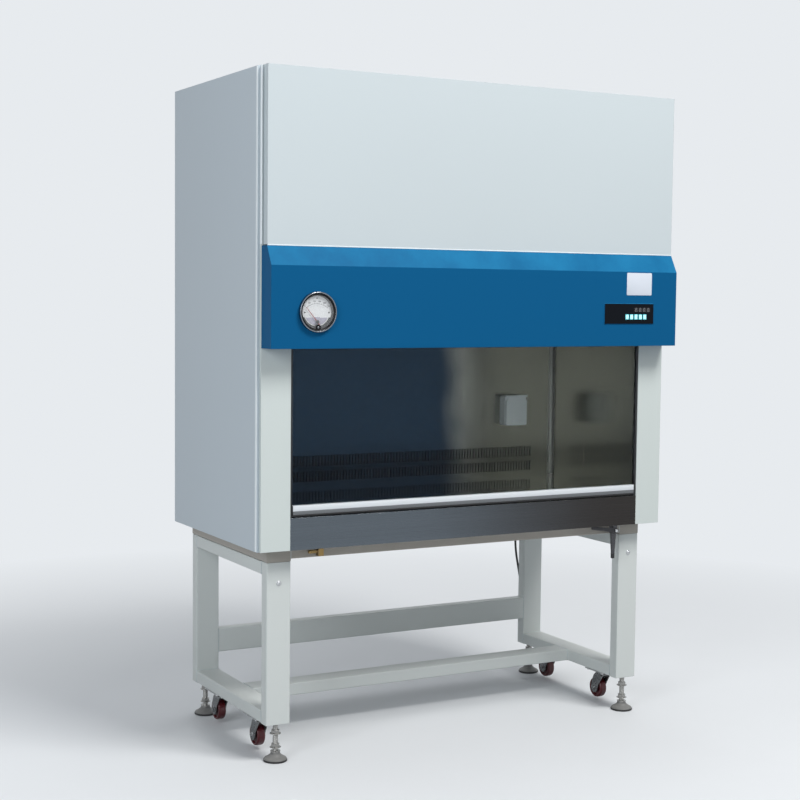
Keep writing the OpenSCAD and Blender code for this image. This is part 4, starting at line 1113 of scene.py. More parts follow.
    def piece(self, name: str, finish: str, body: str, slot: str, smooth: float = 35.0) -> bpy.types.Object:
        """Makes the object.

        Args:
            name: The piece's name.
            finish: Its finish's field in Palette.
            body: The body that it rides on.
            slot: Not used; the name of its finish's slot.
            smooth: Faces that meet at less than this angle are shaded as one, in degrees.

        Returns:
            The object.
        """
        bmesh.ops.recalc_face_normals(self.bm, faces=self.bm.faces)
        for f in self.bm.faces:
            f.smooth = True
        for e in self.bm.edges:
            e.smooth = len(e.link_faces) == 2 and e.calc_face_angle(0.0) < math.radians(smooth)
        mesh = bpy.data.meshes.new(name)
        self.bm.to_mesh(mesh)
        self.bm.free()
        mesh.materials.append(finish_of(finish))
        made = bpy.data.objects.new(name, mesh)
        show(made)
        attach(made, body)
        log.info("piece %s on %s", name, body)
        return made


def rounded(width: float, height: float, radius: float, steps: int = 5) -> list[Pair]:
    """Outline of a rectangle with round corners about the origin.

    Args:
        width: Its width.
        height: Its height.
        radius: Radius of its corners.
        steps: Points on each corner.

    Returns:
        Its corners, anticlockwise.
    """
    out = []
    for sx, sy, start in [(1, 1, 0), (-1, 1, 90), (-1, -1, 180), (1, -1, 270)]:
        for i in range(steps + 1):
            t = math.radians(start + 90 * i / steps)
            out.append((sx * (width / 2 - radius) + radius * math.cos(t),
                        sy * (height / 2 - radius) + radius * math.sin(t)))
    return out


def eased(share: float) -> float:
    """A share from 0 to 1 that starts and ends gently."""
    return share * share * (3 - 2 * share)


def smooth_path(points: Sequence[Point], steps: int) -> list[Vector]:
    """Curve through points.

    Args:
        points: The points.
        steps: Pieces of the curve between two of them.

    Returns:
        Points along the curve.
    """
    pts = [Vector(p) for p in points]
    out = []
    for i in range(len(pts) - 1):
        a, b, c, d = pts[max(i - 1, 0)], pts[i], pts[i + 1], pts[min(i + 2, len(pts) - 1)]
        for k in range(steps):
            s = k / steps
            out.append((2 * b + (c - a) * s + (2 * a - 5 * b + 4 * c - d) * s * s
                        + (3 * b - a - 3 * c + d) * s ** 3) / 2)
    return out + [pts[-1]]


# ---- Studio ----


@dataclass
class Studio:
    """Camera, lamps, backdrop and floor."""

    camera_at: Triple = (-2.52645, -4.46127, 1.43595)
    yaw: float = 28.5135
    pitch: float = 3.9676
    roll: float = 0.5964
    lens_mm: float = 68.50
    sensor_mm: float = 36.0
    world_strength: float = 0.25
    world_tint: Color = (0.93, 0.96, 1.0)
    backdrop: Color = (0.80, 0.83, 0.86)
    floor_half: float = 14.0
    floor_tone: Color = (0.79, 0.81, 0.83)
    floor_bounce: Color = (0.42, 0.44, 0.46)
    fade: Pair = (1.2, 3.6)

    def camera(self) -> None:
        """Sets the scene's camera."""
        yaw, pitch, roll = (math.radians(v) for v in (self.yaw, self.pitch, self.roll))
        ahead = Vector((math.sin(yaw) * math.cos(pitch), math.cos(yaw) * math.cos(pitch), -math.sin(pitch)))
        right = Vector((math.cos(yaw), -math.sin(yaw), 0.0))
        up = right.cross(ahead)
        right, up = (math.cos(roll) * right + math.sin(roll) * up,
                     -math.sin(roll) * right + math.cos(roll) * up)
        data = bpy.data.cameras.new("viewpoint")
        data.lens, data.sensor_width = self.lens_mm, self.sensor_mm
        data.clip_start, data.clip_end = 0.05, 60.0
        made = bpy.data.objects.new("viewpoint", data)
        turn = Matrix((right, up, -ahead)).transposed().to_4x4()
        made.matrix_world = Matrix.Translation(Vector(self.camera_at)) @ turn
        show(made)
        bpy.context.scene.camera = made

    def lamp(self, name: str, at: Point, target: Point, size: Pair, watts: float, color: Color) -> None:
        """Adds a soft box.

        Args:
            name: Its name.
            at: Where it hangs.
            target: Where it points.
            size: Its width and height.
            watts: Its power.
            color: Its colour.
        """
        data = bpy.data.lights.new(name, "AREA")
        data.shape, data.size, data.size_y = "RECTANGLE", size[0], size[1]
        data.energy, data.color = watts, color
        made = bpy.data.objects.new(name, data)
        made.location = Vector(at)
        made.rotation_mode = "QUATERNION"
        made.rotation_quaternion = (Vector(target) - Vector(at)).to_track_quat("-Z", "Y")
        show(made)

    def world(self) -> None:
        """Sets the world: even soft light, and a pale backdrop where it is looked at."""
        made = bpy.data.worlds.new("studio")
        made.use_nodes = True
        bpy.context.scene.world = made
        b = Board(made.node_tree)
        b.tree.nodes.clear()
        lit = b.feed(b.node("Background"), Color=self.world_tint, Strength=self.world_strength)
        pale = b.feed(b.node("Background"), Color=self.backdrop, Strength=1.0)
        mixed = b.node("MixShader")
        b.feed(mixed, i0=b.looked_at(), i1=lit.outputs[0], i2=pale.outputs[0])
        b.feed(b.node("OutputWorld"), Surface=mixed.outputs[0])

    def floor(self) -> None:
        """Lays the pale floor, which fades into the backdrop far behind the cabinet."""
        mesh = bpy.data.meshes.new("studio_floor")
        h = self.floor_half
        mesh.from_pydata([(-h, -h, 0), (h, -h, 0), (h, h, 0), (-h, h, 0)], [], [(0, 1, 2, 3)])
        b = MaterialBoard("studio_floor")
        at, seen = b.here(), b.looked_at()
        tone = b.ramp(b.noise(at, 1.3, 4.0, 0.55), 0.2, 0.8)
        pale = b.mix(tone, self.floor_tone, tuple(1.03 * v for v in self.floor_tone))
        b.feed(b.shader, Base_Color=b.mix(seen, self.floor_bounce, pale), Roughness=0.6,
               Specular_IOR_Level=0.2)
        far = b.math("MULTIPLY", seen, b.ramp(b.vector("LENGTH", at), *self.fade))
        glow = b.feed(b.node("Emission"), Color=self.backdrop, Strength=1.0)
        mixed = b.feed(b.node("MixShader"), i0=far, i1=b.shader.outputs[0], i2=glow.outputs[0])
        b.feed(b.out, Surface=mixed.outputs[0])
        mesh.materials.append(b.material)
        made = bpy.data.objects.new("studio_floor", mesh)
        show(made)

    def build(self) -> None:
        """Makes camera, lamps, world and floor."""
        bpy.context.scene.view_settings.view_transform = "Standard"
        self.camera()
        self.world()
        self.floor()
        self.lamp("key_soft_box", (1.5, -3.8, 6.2), (0.0, 0.0, 1.2), (2.6, 2.2), 345.0, (1.0, 0.99, 0.975))
        self.lamp("left_fill", (-4.4, -2.8, 2.8), (-0.2, 0.0, 0.8), (2.0, 2.2), 86.0, (0.94, 0.97, 1.0))
        self.lamp("top_fill", (0.3, 1.2, 5.4), (0.0, 0.0, 1.0), (3.0, 3.0), 60.0, (0.96, 0.98, 1.0))


# ---- Mains cord ----


@dataclass
class MainsCord:
    """The mains lead: down beside the leg, into a flat coil behind the stand, and its plug."""

    diameter: float = 0.008
    exit_at: Triple = (0.608, 0.383, 0.653)
    coil_at: Pair = (0.690, 0.485)
    columns: tuple[float, ...] = (0.050, 0.042, 0.034)
    way: tuple[Triple, ...] = (
        (0, 0, 653), (0, 0, 630), (0, 0, 600), (1, 0, 570), (3, 1, 535), (5, 1, 503), (7, 1, 474),
        (12, 1, 440), (20, 1, 400), (28, 1, 360), (37, 2, 315), (46, 2, 270), (54, 3, 225),
        (61, 3, 180), (67, 4, 140), (72, 5, 105), (76, 6, 72), (78.5, 8.5, 40), (81.2, 12.5, 22),
        (88.7, 23.3, 8.8), (98.9, 38.2, 4.7), (106.8, 49.7, 4.4))
    turn_steps: int = 30
    layers: Pair = (0.0041, 0.0123)
    even_share: float = 0.75
    plug_x: float = 0.006
    plug_drop: float = 0.034
    plug_z: float = 0.028
    length: float = 0.0

    def route(self) -> list[Vector]:
        """Finds the cord's middle line: down, round each column of the coil, and over its top.

        Returns:
            Points from the gland to the plug.
        """
        x0, y0, _ = self.exit_at
        cx, cy = self.coil_at
        line = smooth_path([(x0 + x * MM, y0 + y * MM, z * MM) for x, y, z in self.way], 4)
        start = -math.atan2(line[-1].x - line[-4].x, line[-1].y - line[-4].y)
        low, high = self.layers
        plan = [(r, low) for r in self.columns] + [(r, high) for r in self.columns[::-1]]
        counts = [self.turn_steps] * (len(plan) - 1) + [self.last_steps(start)]
        turns: list[Vector] = []
        for (r, z), (next_r, next_z), count in zip(plan, plan[1:] + plan[-1:], counts):
            for k in range(count):
                share = (k / self.turn_steps - self.even_share) / (1 - self.even_share)
                ease = eased(max(0.0, share))
                at_r, at_z = r + (next_r - r) * ease, z + (next_z - z) * ease
                t = start + k * (2 * math.pi / self.turn_steps)
                turns.append(Vector((cx + at_r * math.cos(t), cy + at_r * math.sin(t), at_z)))
        return line + turns + self.over_the_top(turns[-1])

    def last_steps(self, angle: float) -> int:
        """How many steps the last turn takes to reach the side where the cord leaves the coil."""
        return round(((math.pi - angle) % (2 * math.pi)) / (2 * math.pi) * self.turn_steps)

    def over_the_top(self, start: Vector) -> list[Vector]:
        """Points of the last stretch, which climbs over the coil to the plug.

        Args:
            start: Where the last turn ends.

        Returns:
            The points.
        """
        cx, cy = self.coil_at
        bend, steps = self.plug_drop, 12
        centre = Vector((cx - self.columns[0] + bend, cy, 0))
        out = []
        for k in range(1, steps + 1):
            t = math.pi + math.pi / 2 * k / steps
            z = start.z + (self.plug_z - start.z) * eased(k / steps)
            out.append(centre + Vector((bend * math.cos(t), bend * math.sin(t), z)))
        return out + [out[-1] + Vector((0.004 * k, 0, 0)) for k in (1, 2, 3)]

    def cord(self) -> bpy.types.Object:
        """Makes the lead along its route, and measures it.

        Returns:
            Its piece.
        """
        route = self.route()
        data = bpy.data.curves.new("mains_lead", "CURVE")
        data.dimensions, data.bevel_depth, data.bevel_resolution = "3D", self.diameter / 2, 4
        data.use_fill_caps = True
        line = data.splines.new("POLY")
        line.points.add(len(route) - 1)
        for point, at in zip(line.points, route):
            point.co = (*at, 1.0)
        line.use_smooth = True
        data.materials.append(finish_of("sheath"))
        made = bpy.data.objects.new("mains_lead", data)
        show(made)
        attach(made, CABINET)
        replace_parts(made, "cord_run", "cord_coil")
        self.length = sum((b - a).length for a, b in zip(route, route[1:]))
        log.info("mains lead %.3f m", self.length)
        return made

    def relief(self) -> bpy.types.Object:
        """Makes the tapered strain relief under the gland.

        Returns:
            Its piece.
        """
        x, y, z = self.exit_at
        rows = [(0.0, 0.0), (0.0088, 0.0), (0.0088, 0.003)]
        for k in range(9):
            h = 0.004 + k * 0.0042
            r = 0.0080 - k * 0.00036
            rows += [(r, h), (r, h + 0.0024), (r - 0.0011, h + 0.0027), (r - 0.0011, h + 0.0039)]
        rows += [(0.0047, 0.0425), (0.0041, 0.0435), (0.0, 0.0435)]
        made = Shape().lathe(rows, place_at((x, y, z + 0.0005), Axis.DOWN), 20)
        return made.piece("lead_strain_relief", "sheath", CABINET, "cord_black")

    def plug(self) -> bpy.types.Object:
        """Makes the moulded plug: boot, ribbed grip, face and collar of the pins.

        Returns:
            Its piece.
        """
        cx, cy = self.coil_at
        x0, y, z = cx + self.plug_x, cy - self.plug_drop, self.plug_z
        shape = Shape()
        sections = [(-0.0215, 8.2, 8.2, 4.1), (-0.020, 9.4, 9.4, 4.7), (-0.012, 11.5, 11.5, 5.6),
                    (-0.004, 15.0, 14.5, 6.8), (0.001, 22.0, 19.0, 6.5), (0.006, 26.5, 22.0, 6.5),
                    (0.012, 29.0, 23.4, 6.5), (0.020, 30.0, 24.0, 6.5), (0.030, 30.0, 24.0, 6.5),
                    (0.033, 29.4, 23.4, 6.2), (0.034, 27.5, 21.5, 5.6)]
        shape.skin([shape.ring((x0 + along, y + a * MM, z + b * MM) for a, b in rounded(w, h, r, 6))
                    for along, w, h, r in sections], ends=True)
        for k in range(4):
            at = x0 + 0.008 + k * 0.0035
            for side in (-1, 1):
                low = y + side * 0.0143 - 0.0006
                shape.box((at, low, z - 0.007), (at + 0.0014, low + 0.0012, z + 0.007), 0.0004)
        return shape.piece("lead_plug", "sheath", CABINET, "cord_black", 30.0)

    def pins(self) -> bpy.types.Object:
        """Makes the plug's two round pins with their sleeves.

        Returns:
            Their piece.
        """
        cx, cy = self.coil_at
        shape = Shape()
        profile = [(0.0, 0.0), (0.0024, 0.0), (0.0024, 0.0165), (0.0021, 0.0180), (0.0012, 0.0190),
                   (0.0, 0.0193)]
        for side in (-1, 1):
            foot = (cx + self.plug_x + 0.0335, cy - self.plug_drop + side * 0.0095, self.plug_z)
            shape.lathe(profile, place_at(foot, Axis.X), 20)
        return shape.piece("plug_pins", "pin", CABINET, "brass")

    def ties(self) -> bpy.types.Object:
        """Makes the two straps that hold the coil together.

        Returns:
            Their piece.
        """
        cx, cy = self.coil_at
        thick, half_wide = 0.0008, 0.0035
        shape = Shape()
        loop = [(-0.0128, 0.0004), (0.0128, 0.0004), (0.0136, 0.0020), (0.0136, 0.0145),
                (0.0124, 0.0170), (-0.0124, 0.0170), (-0.0136, 0.0145), (-0.0136, 0.0020)]
        wider = [(a + math.copysign(thick, a), h + (thick if h > 0.008 else -0.0003)) for a, h in loop]
        for degrees in (62, 150):
            angle = math.radians(degrees)
            out = Vector((math.cos(angle), math.sin(angle), 0.0))
            side = half_wide * Vector((-out.y, out.x, 0.0))
            mid = Vector((cx, cy, 0.0)) + out * self.columns[1]
            strap = [(wider, -1), (wider, 1), (loop, 1), (loop, -1)]
            shape.skin([shape.ring(mid + out * a + Vector((0, 0, h)) + edge * side for a, h in line)
                        for line, edge in strap], closed=True)
        return shape.piece("lead_ties", "nylon", CABINET, "gland_grey", 50.0)

    def build(self) -> None:
        lead = self.cord()
        plug, pins = self.plug(), self.pins()
        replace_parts(plug, "power_plug")
        with_it = [self.relief(), plug, pins, self.ties()]
        dress("nylon", "cord_gland")


# ---- Casing ----


@dataclass
class Casing:
    """Sheet panels, pillars and cover, with their screws, the exhaust's rim and bright beads that paint
    highlights.
    """

    rear_y: float = 0.398
    top_z: float = 2.100
    rear_rows: Pair = (0.678, 2.084)
    rear_columns: tuple[float, ...] = (-0.72, -0.48, -0.24, 0.0, 0.24, 0.48, 0.72)
    rear_edge_x: float = 0.735
    rear_edge_z: tuple[float, ...] = (0.92, 1.18, 1.44, 1.70, 1.94)
    top_edge_x: float = 0.730
    top_edge_y: Triple = (-0.22, 0.03, 0.28)
    top_rear_y: float = 0.378
    top_rear_x: tuple[float, ...] = (-0.60, -0.30, 0.0, 0.30, 0.60)
    screw_r: float = 0.0055
    screw_h: float = 0.0022
    bead_half: float = 0.0050
    bead_rise: float = 0.0032

    def rear_screws(self) -> None:
        """Makes the screws round the rear panel."""
        shape = Shape()
        washer = [(0, 0.0), (0.0075, 0.0), (0.0075, 0.0006), (0.0070, 0.0009), (0, 0.0009)]
        spots = [(x, z) for x in self.rear_columns for z in self.rear_rows]
        spots += [(x, z) for x in (-self.rear_edge_x, self.rear_edge_x) for z in self.rear_edge_z]
        for x, z in spots:
            shape.lathe(washer, place_at((x, self.rear_y - 0.0002, z), Axis.Y), 20)
            shape.screw(place_at((x, self.rear_y + 0.0005, z), Axis.Y), self.screw_r, self.screw_h)
        shape.piece("rear_panel_screws", "zinc", CABINET, "zinc")

    def top_screws(self) -> None:
        """Makes the screws round the top sheet."""
        shape = Shape()
        spots = [(x, y) for x in (-self.top_edge_x, self.top_edge_x) for y in self.top_edge_y]
        spots += [(x, self.top_rear_y) for x in self.top_rear_x]
        for x, y in spots:
            shape.screw(place_at((x, y, self.top_z - 0.0017)), self.screw_r, self.screw_h)
        shape.piece("top_panel_screws", "zinc", CABINET, "zinc")

    def cover_bead(self) -> None:
        """Makes a bright bead along the joint between the cover and the fascia, a painted highlight of the
        cover's lower edge.
        """
        low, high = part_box("upper_cover")
        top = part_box("fascia")[1].z
        shape = Shape().box((low.x + 0.001, low.y - 0.0006, top + 0.0003),
                            (high.x - 0.001, low.y + 0.0040, low.z + 0.0008), 0.0005)
        shape.piece("cover_bead", "bead", CABINET, "front_paint")

    def corner_beads(self) -> None:
        """Makes bright half-round beads down the side panels' front edges and the cover's side flanges,
        painted highlights along those edges.
        """
        cover_low, cover_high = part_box("upper_cover")
        side_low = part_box("side_panel_left")[0]
        side_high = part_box("side_panel_right")[1]
        shape = Shape()
        turns = [math.pi * k / 8 for k in range(9)]
        section = [(self.bead_rise * math.sin(t), -self.bead_half * math.cos(t)) for t in turns]
        runs = ((side_low.y + self.bead_half + 0.0004, side_low.z + 0.002, side_high.z - 0.002),
                ((cover_low.y + side_low.y) / 2, cover_low.z + 0.001, cover_high.z - 0.002))
        for y, low, high in runs:
            right = [(side_high.x + rise - 0.0001, y + along) for rise, along in section]
            left = [(side_low.x - rise + 0.0001, y + along) for rise, along in reversed(section)]
            for outline in (right, left):
                shape.prism(outline, high - low, Matrix.Translation((0.0, 0.0, low)))
        shape.piece("corner_beads", "bead", CABINET, "front_paint")

    def exhaust_rim(self) -> None:
        """Makes the raised rim round the exhaust outlet in the top sheet."""
        low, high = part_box("exhaust_filter")
        place = Matrix.Translation(((low.x + high.x) / 2, (low.y + high.y) / 2, self.top_z - 0.0015))
        wide, deep, band, corner = high.x - low.x - 0.004, high.y - low.y - 0.004, 0.017, 0.018
        rows = [(0.0, 0.0), (0.0, 0.0010), (0.0006, 0.0015), (band - 0.0006, 0.0015), (band, 0.0010),
                (band, 0.0)]
        shape = Shape()
        rings = []
        for cut, up in rows:
            outline = rounded(wide - 2 * cut, deep - 2 * cut, max(corner - cut, 0.001))
            rings.append(shape.section(outline, up, place))
        shape.skin(rings, closed=True).piece("exhaust_outlet_rim", "panel", CABINET, "panel_paint")

    def build(self) -> None:
        """Dresses the casing."""
        dress("panel", "side_panel_left", "side_panel_right", "rear_panel", "top_panel")
        dress("front", "upper_cover")
        dress("pillar", "pillar_left", "pillar_right")
        dress("sheet", "base_pan")
        dress("blue", "fascia")
        self.rear_screws()
        self.top_screws()
        self.exhaust_rim()
        self.cover_bead()
        self.corner_beads()


# ---- Gauge ----


@dataclass
class PressureGauge:
    """Dial gauge on the fascia: turned case, stepped ring, dial with its scale, mask and lens."""

    x: float = -0.594
    z: float = 1.3815
    pivot_drop: float = 0.029
    boss_drop: float = 0.0452
    scale_r: float = 0.0530
    dial_r: float = 0.0476
    dial_out: float = -0.0020
    dash_r: float = 0.0470
    dash_swing: float = 28.0
    swing: float = 40.0

    def at(self, out: float, x: float = 0.0, z: float = 0.0) -> Matrix:
        """Placement in front of the fascia, facing the user.

        Args:
            out: How far in front of the fascia's face.
            x: How far right of the gauge's middle.
            z: How far above it.

        Returns:
            The matrix.
        """
        return place_at((self.x + x, FASCIA_Y - out, self.z + z), Axis.FRONT)

    def case(self) -> bpy.types.Object:
        """Makes the turned case with its bezel.

        Returns:
            Its piece.
        """
        profile = [(0, -0.035), (0.054, -0.035), (0.0565, -0.0325), (0.0565, 0.0), (0.0600, 0.0),
                   (0.0605, 0.0006), (0.0605, 0.0070), (0.0604, 0.0088), (0.0600, 0.0102),
                   (0.0594, 0.0113), (0.0585, 0.0119), (0.0577, 0.0120), (0.0569, 0.0117),
                   (0.0563, 0.0110), (0.0560, 0.0100), (0.0559, 0.0086), (0.0559, 0.0040),
                   (0.0496, 0.0034), (0.0496, -0.0033), (0, -0.0033)]
        made = Shape().lathe(profile, self.at(0.0), 96)
        return made.piece("gauge_case", "bezel", CABINET, "gauge_case", 25.0)

    def ring(self) -> None:
        """Makes the black stepped ring between the bezel and the dial."""
        profile = [(0.0558, 0.0100), (0.0552, 0.0102), (0.0530, 0.0092), (0.0505, 0.0066),
                   (0.0488, 0.0030), (0.0479, -0.0004), (0.0479, -0.0031), (0.0495, -0.0031),
                   (0.0495, 0.0037), (0.0558, 0.0043), (0.0558, 0.0100)]
        made = Shape().lathe(profile, self.at(0.0), 96)
        made.piece("gauge_inner_ring", "black", CABINET, "panel_black", 30.0)

    def dial(self) -> None:
        """Makes the dial plate, with its shoulders cut in below the middle."""
        r = self.dial_r - 0.0002
        outline = []
        for radius, sweep in ((r, range(-19, 200, 3)), (r - 0.0054, range(202, 339, 4))):
            angles = [math.radians(degrees) for degrees in sweep]
            outline += [(radius * math.cos(t), radius * math.sin(t)) for t in angles]
        shape = Shape().prism(outline, 0.0010, self.at(self.dial_out - 0.0010))
        shape.piece("gauge_dial", "dial", CABINET, "white_plastic", 30.0)
        floor = Shape()
        floor.lathe([(0, 0), (0.0478, 0.0), (0.0478, 0.0003), (0, 0.0003)], self.at(-0.0033), 64)
        floor.piece("gauge_floor", "black", CABINET, "panel_black")

    def about_pivot(self, r: float, degrees: float) -> Pair:
        """A point about the needle's pivot, clockwise from the top, seen from the gauge's middle."""
        t = math.radians(degrees)
        return r * math.sin(t), r * math.cos(t) - self.pivot_drop

    def line(self, shape: Shape, a: Pair, b: Pair, width: float) -> None:
        """Adds a thin printed line to the dial.

        Args:
            shape: The shape that it goes into.
            a: Radius and angle of its start, about the pivot.
            b: Radius and angle of its end.
            width: Its width.
        """
        (ax, az), (bx, bz) = self.about_pivot(*a), self.about_pivot(*b)
        length = math.hypot(bx - ax, bz - az)
        nx, nz = -(bz - az) / length * width / 2, (bx - ax) / length * width / 2
        outline = [(ax - nx, az - nz), (bx - nx, bz - nz), (bx + nx, bz + nz), (ax + nx, az + nz)]
        shape.prism(outline, 0.00006, self.at(self.dial_out + 0.00004))

    def scale(self) -> None:
        """Makes the scale's arc, its graduation lines and the dashes inside it."""
        shape = Shape()
        whole = 2 * self.swing
        arc_steps, graduations, dashes = 48, 50, 17
        for i in range(arc_steps):
            a = -self.swing + whole * i / arc_steps
            self.line(shape, (self.scale_r, a), (self.scale_r, a + whole / arc_steps), 0.0004)
        for i in range(graduations + 1):
            a = -self.swing + whole * i / graduations
            tip, width = (0.0566, 0.0006) if i % 5 == 0 else (0.0552, 0.0003)
            self.line(shape, (self.scale_r, a), (tip, a), width)
        for i in range(dashes):
            a = -self.dash_swing + 2 * self.dash_swing * i / dashes
            self.line(shape, (self.dash_r, a), (self.dash_r, a + 2.9), 0.00025)
        shape.piece("gauge_scale", "ink", CABINET, "panel_black")

    def numerals(self) -> None:
        """Makes the numbers of the scale, 0 to 250, and its unit."""
        rows = [(str(50 * i), -self.swing + 2 * self.swing * i / 5, 0.0608, 0.0064) for i in range(6)]
        rows.append(("Pa", 0.0, 0.0695, 0.0052))
        for i, (words, degrees, r, size) in enumerate(rows):
            data = bpy.data.curves.new(f"gauge_number_{i}", "FONT")
            data.body, data.size, data.extrude, data.offset = words, size, 0.00004, 0.00012
            data.align_x, data.align_y = "CENTER", "CENTER"
            data.materials.append(finish_of("ink"))
            made = bpy.data.objects.new(f"gauge_number_{i}", data)
            made.matrix_world = self.at(self.dial_out + 0.00006, *self.about_pivot(r, degrees))
            show(made)
            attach(made, CABINET)
            log.info("piece %s", made.name)

    def mask(self) -> None:
        """Makes the mask that hides the pivot, and the zero screw below it."""
        r = 0.0392
        angles = [math.radians(degrees) for degrees in range(206, 335, 4)]
        top = [(0.0340, -0.0165), (0.010, -0.0165), (0.0085, -0.0148), (-0.0085, -0.0148),
               (-0.010, -0.0165), (-0.0340, -0.0165)]
        shape = Shape()
        shape.prism([(r * math.cos(t), r * math.sin(t)) for t in angles] + top, 0.0006,
                    self.at(self.dial_out))
        shape.piece("gauge_mask", "mask", CABINET, "white_plastic", 30.0)
        hub = Shape()
        hub.lathe([(0.0, 0.0), (0.0052, 0.0), (0.0052, 0.0024), (0.0046, 0.0030), (0.0, 0.0030)],
                  self.at(0.0019, 0.0, -self.pivot_drop), 28)
        hub.piece("gauge_hub_cap", "black", CABINET, "panel_black")
        boss = Shape()
        boss.lathe([(0.0, 0.0), (0.0088, 0.0), (0.0088, 0.0108), (0.0080, 0.0116), (0.0042, 0.0116),
                    (0.0040, 0.0104), (0.0, 0.0104)], self.at(self.dial_out, 0.0, -self.boss_drop), 36)
        boss.piece("gauge_zero_boss", "black", CABINET, "panel_black")
        screw = Shape().screw(self.at(0.0084, 0.0, -self.boss_drop), 0.0036, 0.0016)
        screw.piece("gauge_zero_screw", "bezel", CABINET, "gauge_case")

    def screws(self) -> None:
        """Makes the two dial screws."""
        shape = Shape()
        for side in (-1, 1):
            shape.screw(self.at(self.dial_out, side * 0.0395, -0.0015), 0.0024, 0.0010)
        shape.piece("gauge_dial_screws", "black", CABINET, "panel_black")

    def lens(self) -> None:
        """Makes the lens."""
        profile = [(0, 0.0074), (0.030, 0.0073), (0.0500, 0.0072), (0.0503, 0.0078), (0.0500, 0.0086),
                   (0.030, 0.0093), (0, 0.0095)]
        made = Shape().lathe(profile, self.at(0.0), 64)
        made.piece("gauge_lens", "lens", CABINET, "clear_glass")

    def build(self) -> None:
        """Makes the gauge."""
        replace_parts(self.case(), "gauge")
        self.ring()
        self.dial()
        self.scale()
        self.numerals()
        self.mask()
        self.screws()
        self.lens()
        dress("needle", "gauge_needle")


# ---- Control panel and label plate ----


class Segment(Enum):
    """One bar of a seven-bar digit: middle across and up as shares of the digit, and its lie."""

    TOP = (0.5, 1.0, True)
    MIDDLE = (0.5, 0.5, True)
    FOOT = (0.5, 0.0, True)
    UPPER_LEFT = (0.0, 0.75, False)
    UPPER_RIGHT = (1.0, 0.75, False)
    LOWER_LEFT = (0.0, 0.25, False)
    LOWER_RIGHT = (1.0, 0.25, False)


@dataclass
class ControlPanel:
    """Black panel with its display and keys, and the bare plate above it."""

    x: Pair = (0.448, 0.646)
    z: Pair = (1.347, 1.412)
    front_y: float = -0.388
    window_x: Pair = (0.565, 0.634)
    window_z: Pair = (1.385, 1.401)
    key_x: float = 0.531
    key_pitch: float = 0.018
    key_w: float = 0.013
    key_z: Pair = (1.361, 1.378)
    digit_wide: float = 0.0072
    digit_tall: float = 0.0106
    digit_bar: float = 0.0019
    digit_pitch: float = 0.0166
    digit_margin: float = 0.0058
    digit_lean: float = 0.10
    label_at: Pair = (0.587, 1.478)
    label_size: Triple = (0.102, 0.074, 0.0007)

    def frame_line(self) -> None:
        """Makes the thin rim round the panel."""
        shape = Shape()
        w, h = self.x[1] - self.x[0], self.z[1] - self.z[0]
        place = place_at((sum(self.x) / 2, FASCIA_Y, sum(self.z) / 2), Axis.FRONT)
        rows = [(0.0046, 0.0), (0.0046, 0.0005), (0.0036, 0.0012), (0.0004, 0.0012), (0.0002, 0.0)]
        shape.skin([shape.section(rounded(w + grow, h + grow, 0.0015 + grow / 2), out, place)
                    for grow, out in rows])
        shape.piece("panel_rim", "blue", CABINET, "fascia_blue", 30.0)

    def display(self) -> None:
        """Makes the display window and its four unlit digits, which carry a faint painted glow."""
        cx, cz = sum(self.window_x) / 2, sum(self.window_z) / 2
        w, h = self.window_x[1] - self.window_x[0] - 0.0006, self.window_z[1] - self.window_z[0] - 0.0006
        pane = Shape().plate((cx, self.front_y + 0.0008, cz), (w, h, 0.0006), 0.0006, 0.0001)
        pane.piece("display_window", "window", CABINET, "panel_black")
        shape = Shape()
        low = cz - self.digit_tall / 2
        print_y, print_thick = self.front_y + 0.00016, 0.00006
        for i in range(4):
            left = self.window_x[0] + self.digit_margin + i * self.digit_pitch
            for segment in Segment:
                share_x, share_z, lying = segment.value
                mx, mz = left + self.digit_wide * share_x, low + self.digit_tall * share_z
                reach = self.digit_wide if lying else self.digit_tall / 2
                half, cut = (reach - self.digit_bar * 0.75) / 2, self.digit_bar / 2
                outline = [(-half, 0), (-half + cut, -cut), (half - cut, -cut), (half, 0),
                           (half - cut, cut), (-half + cut, cut)]
                if not lying:
                    outline = [(-b, a) for a, b in outline]
                lean = (mz - cz) * self.digit_lean
                shape.prism(outline, print_thick, place_at((mx + lean, print_y, mz), Axis.FRONT))
            shape.lathe([(0, 0), (0.0008, 0), (0.0008, print_thick), (0, print_thick)],
                        place_at((left + self.digit_wide + 0.0026, print_y, low), Axis.FRONT), 12)
        shape.piece("display_digits", "digit", CABINET, "panel_black")

    def keys(self) -> None:
        """Makes the pale centre of each key, which carries a painted glow."""
        size = (self.key_w - 0.0022, self.key_z[1] - self.key_z[0] - 0.0026, 0.0004)
        for i in range(5):
            middle = (self.key_x + i * self.key_pitch + self.key_w / 2, self.front_y - 0.0015,
                      sum(self.key_z) / 2)
            shape = Shape().plate(middle, size, 0.0022, 0.0003)
            shape.piece(f"key_centre_{i + 1}", "key_core", f"button_{i + 1}", "button_teal")

    def label(self) -> None:
        """Makes the bare white plate above the panel."""
        x, z = self.label_at
        shape = Shape().plate((x, FASCIA_Y, z), self.label_size, 0.0035, 0.0003)
        shape.piece("label_plate", "label", CABINET, "white_plastic")

    def build(self) -> None:
        """Dresses the panel."""
        dress("film", "control_panel")
        dress("key", *(f"button_{i}" for i in range(1, 6)))
        self.frame_line()
        self.display()
        self.keys()
        self.label()


# ---- Window ----


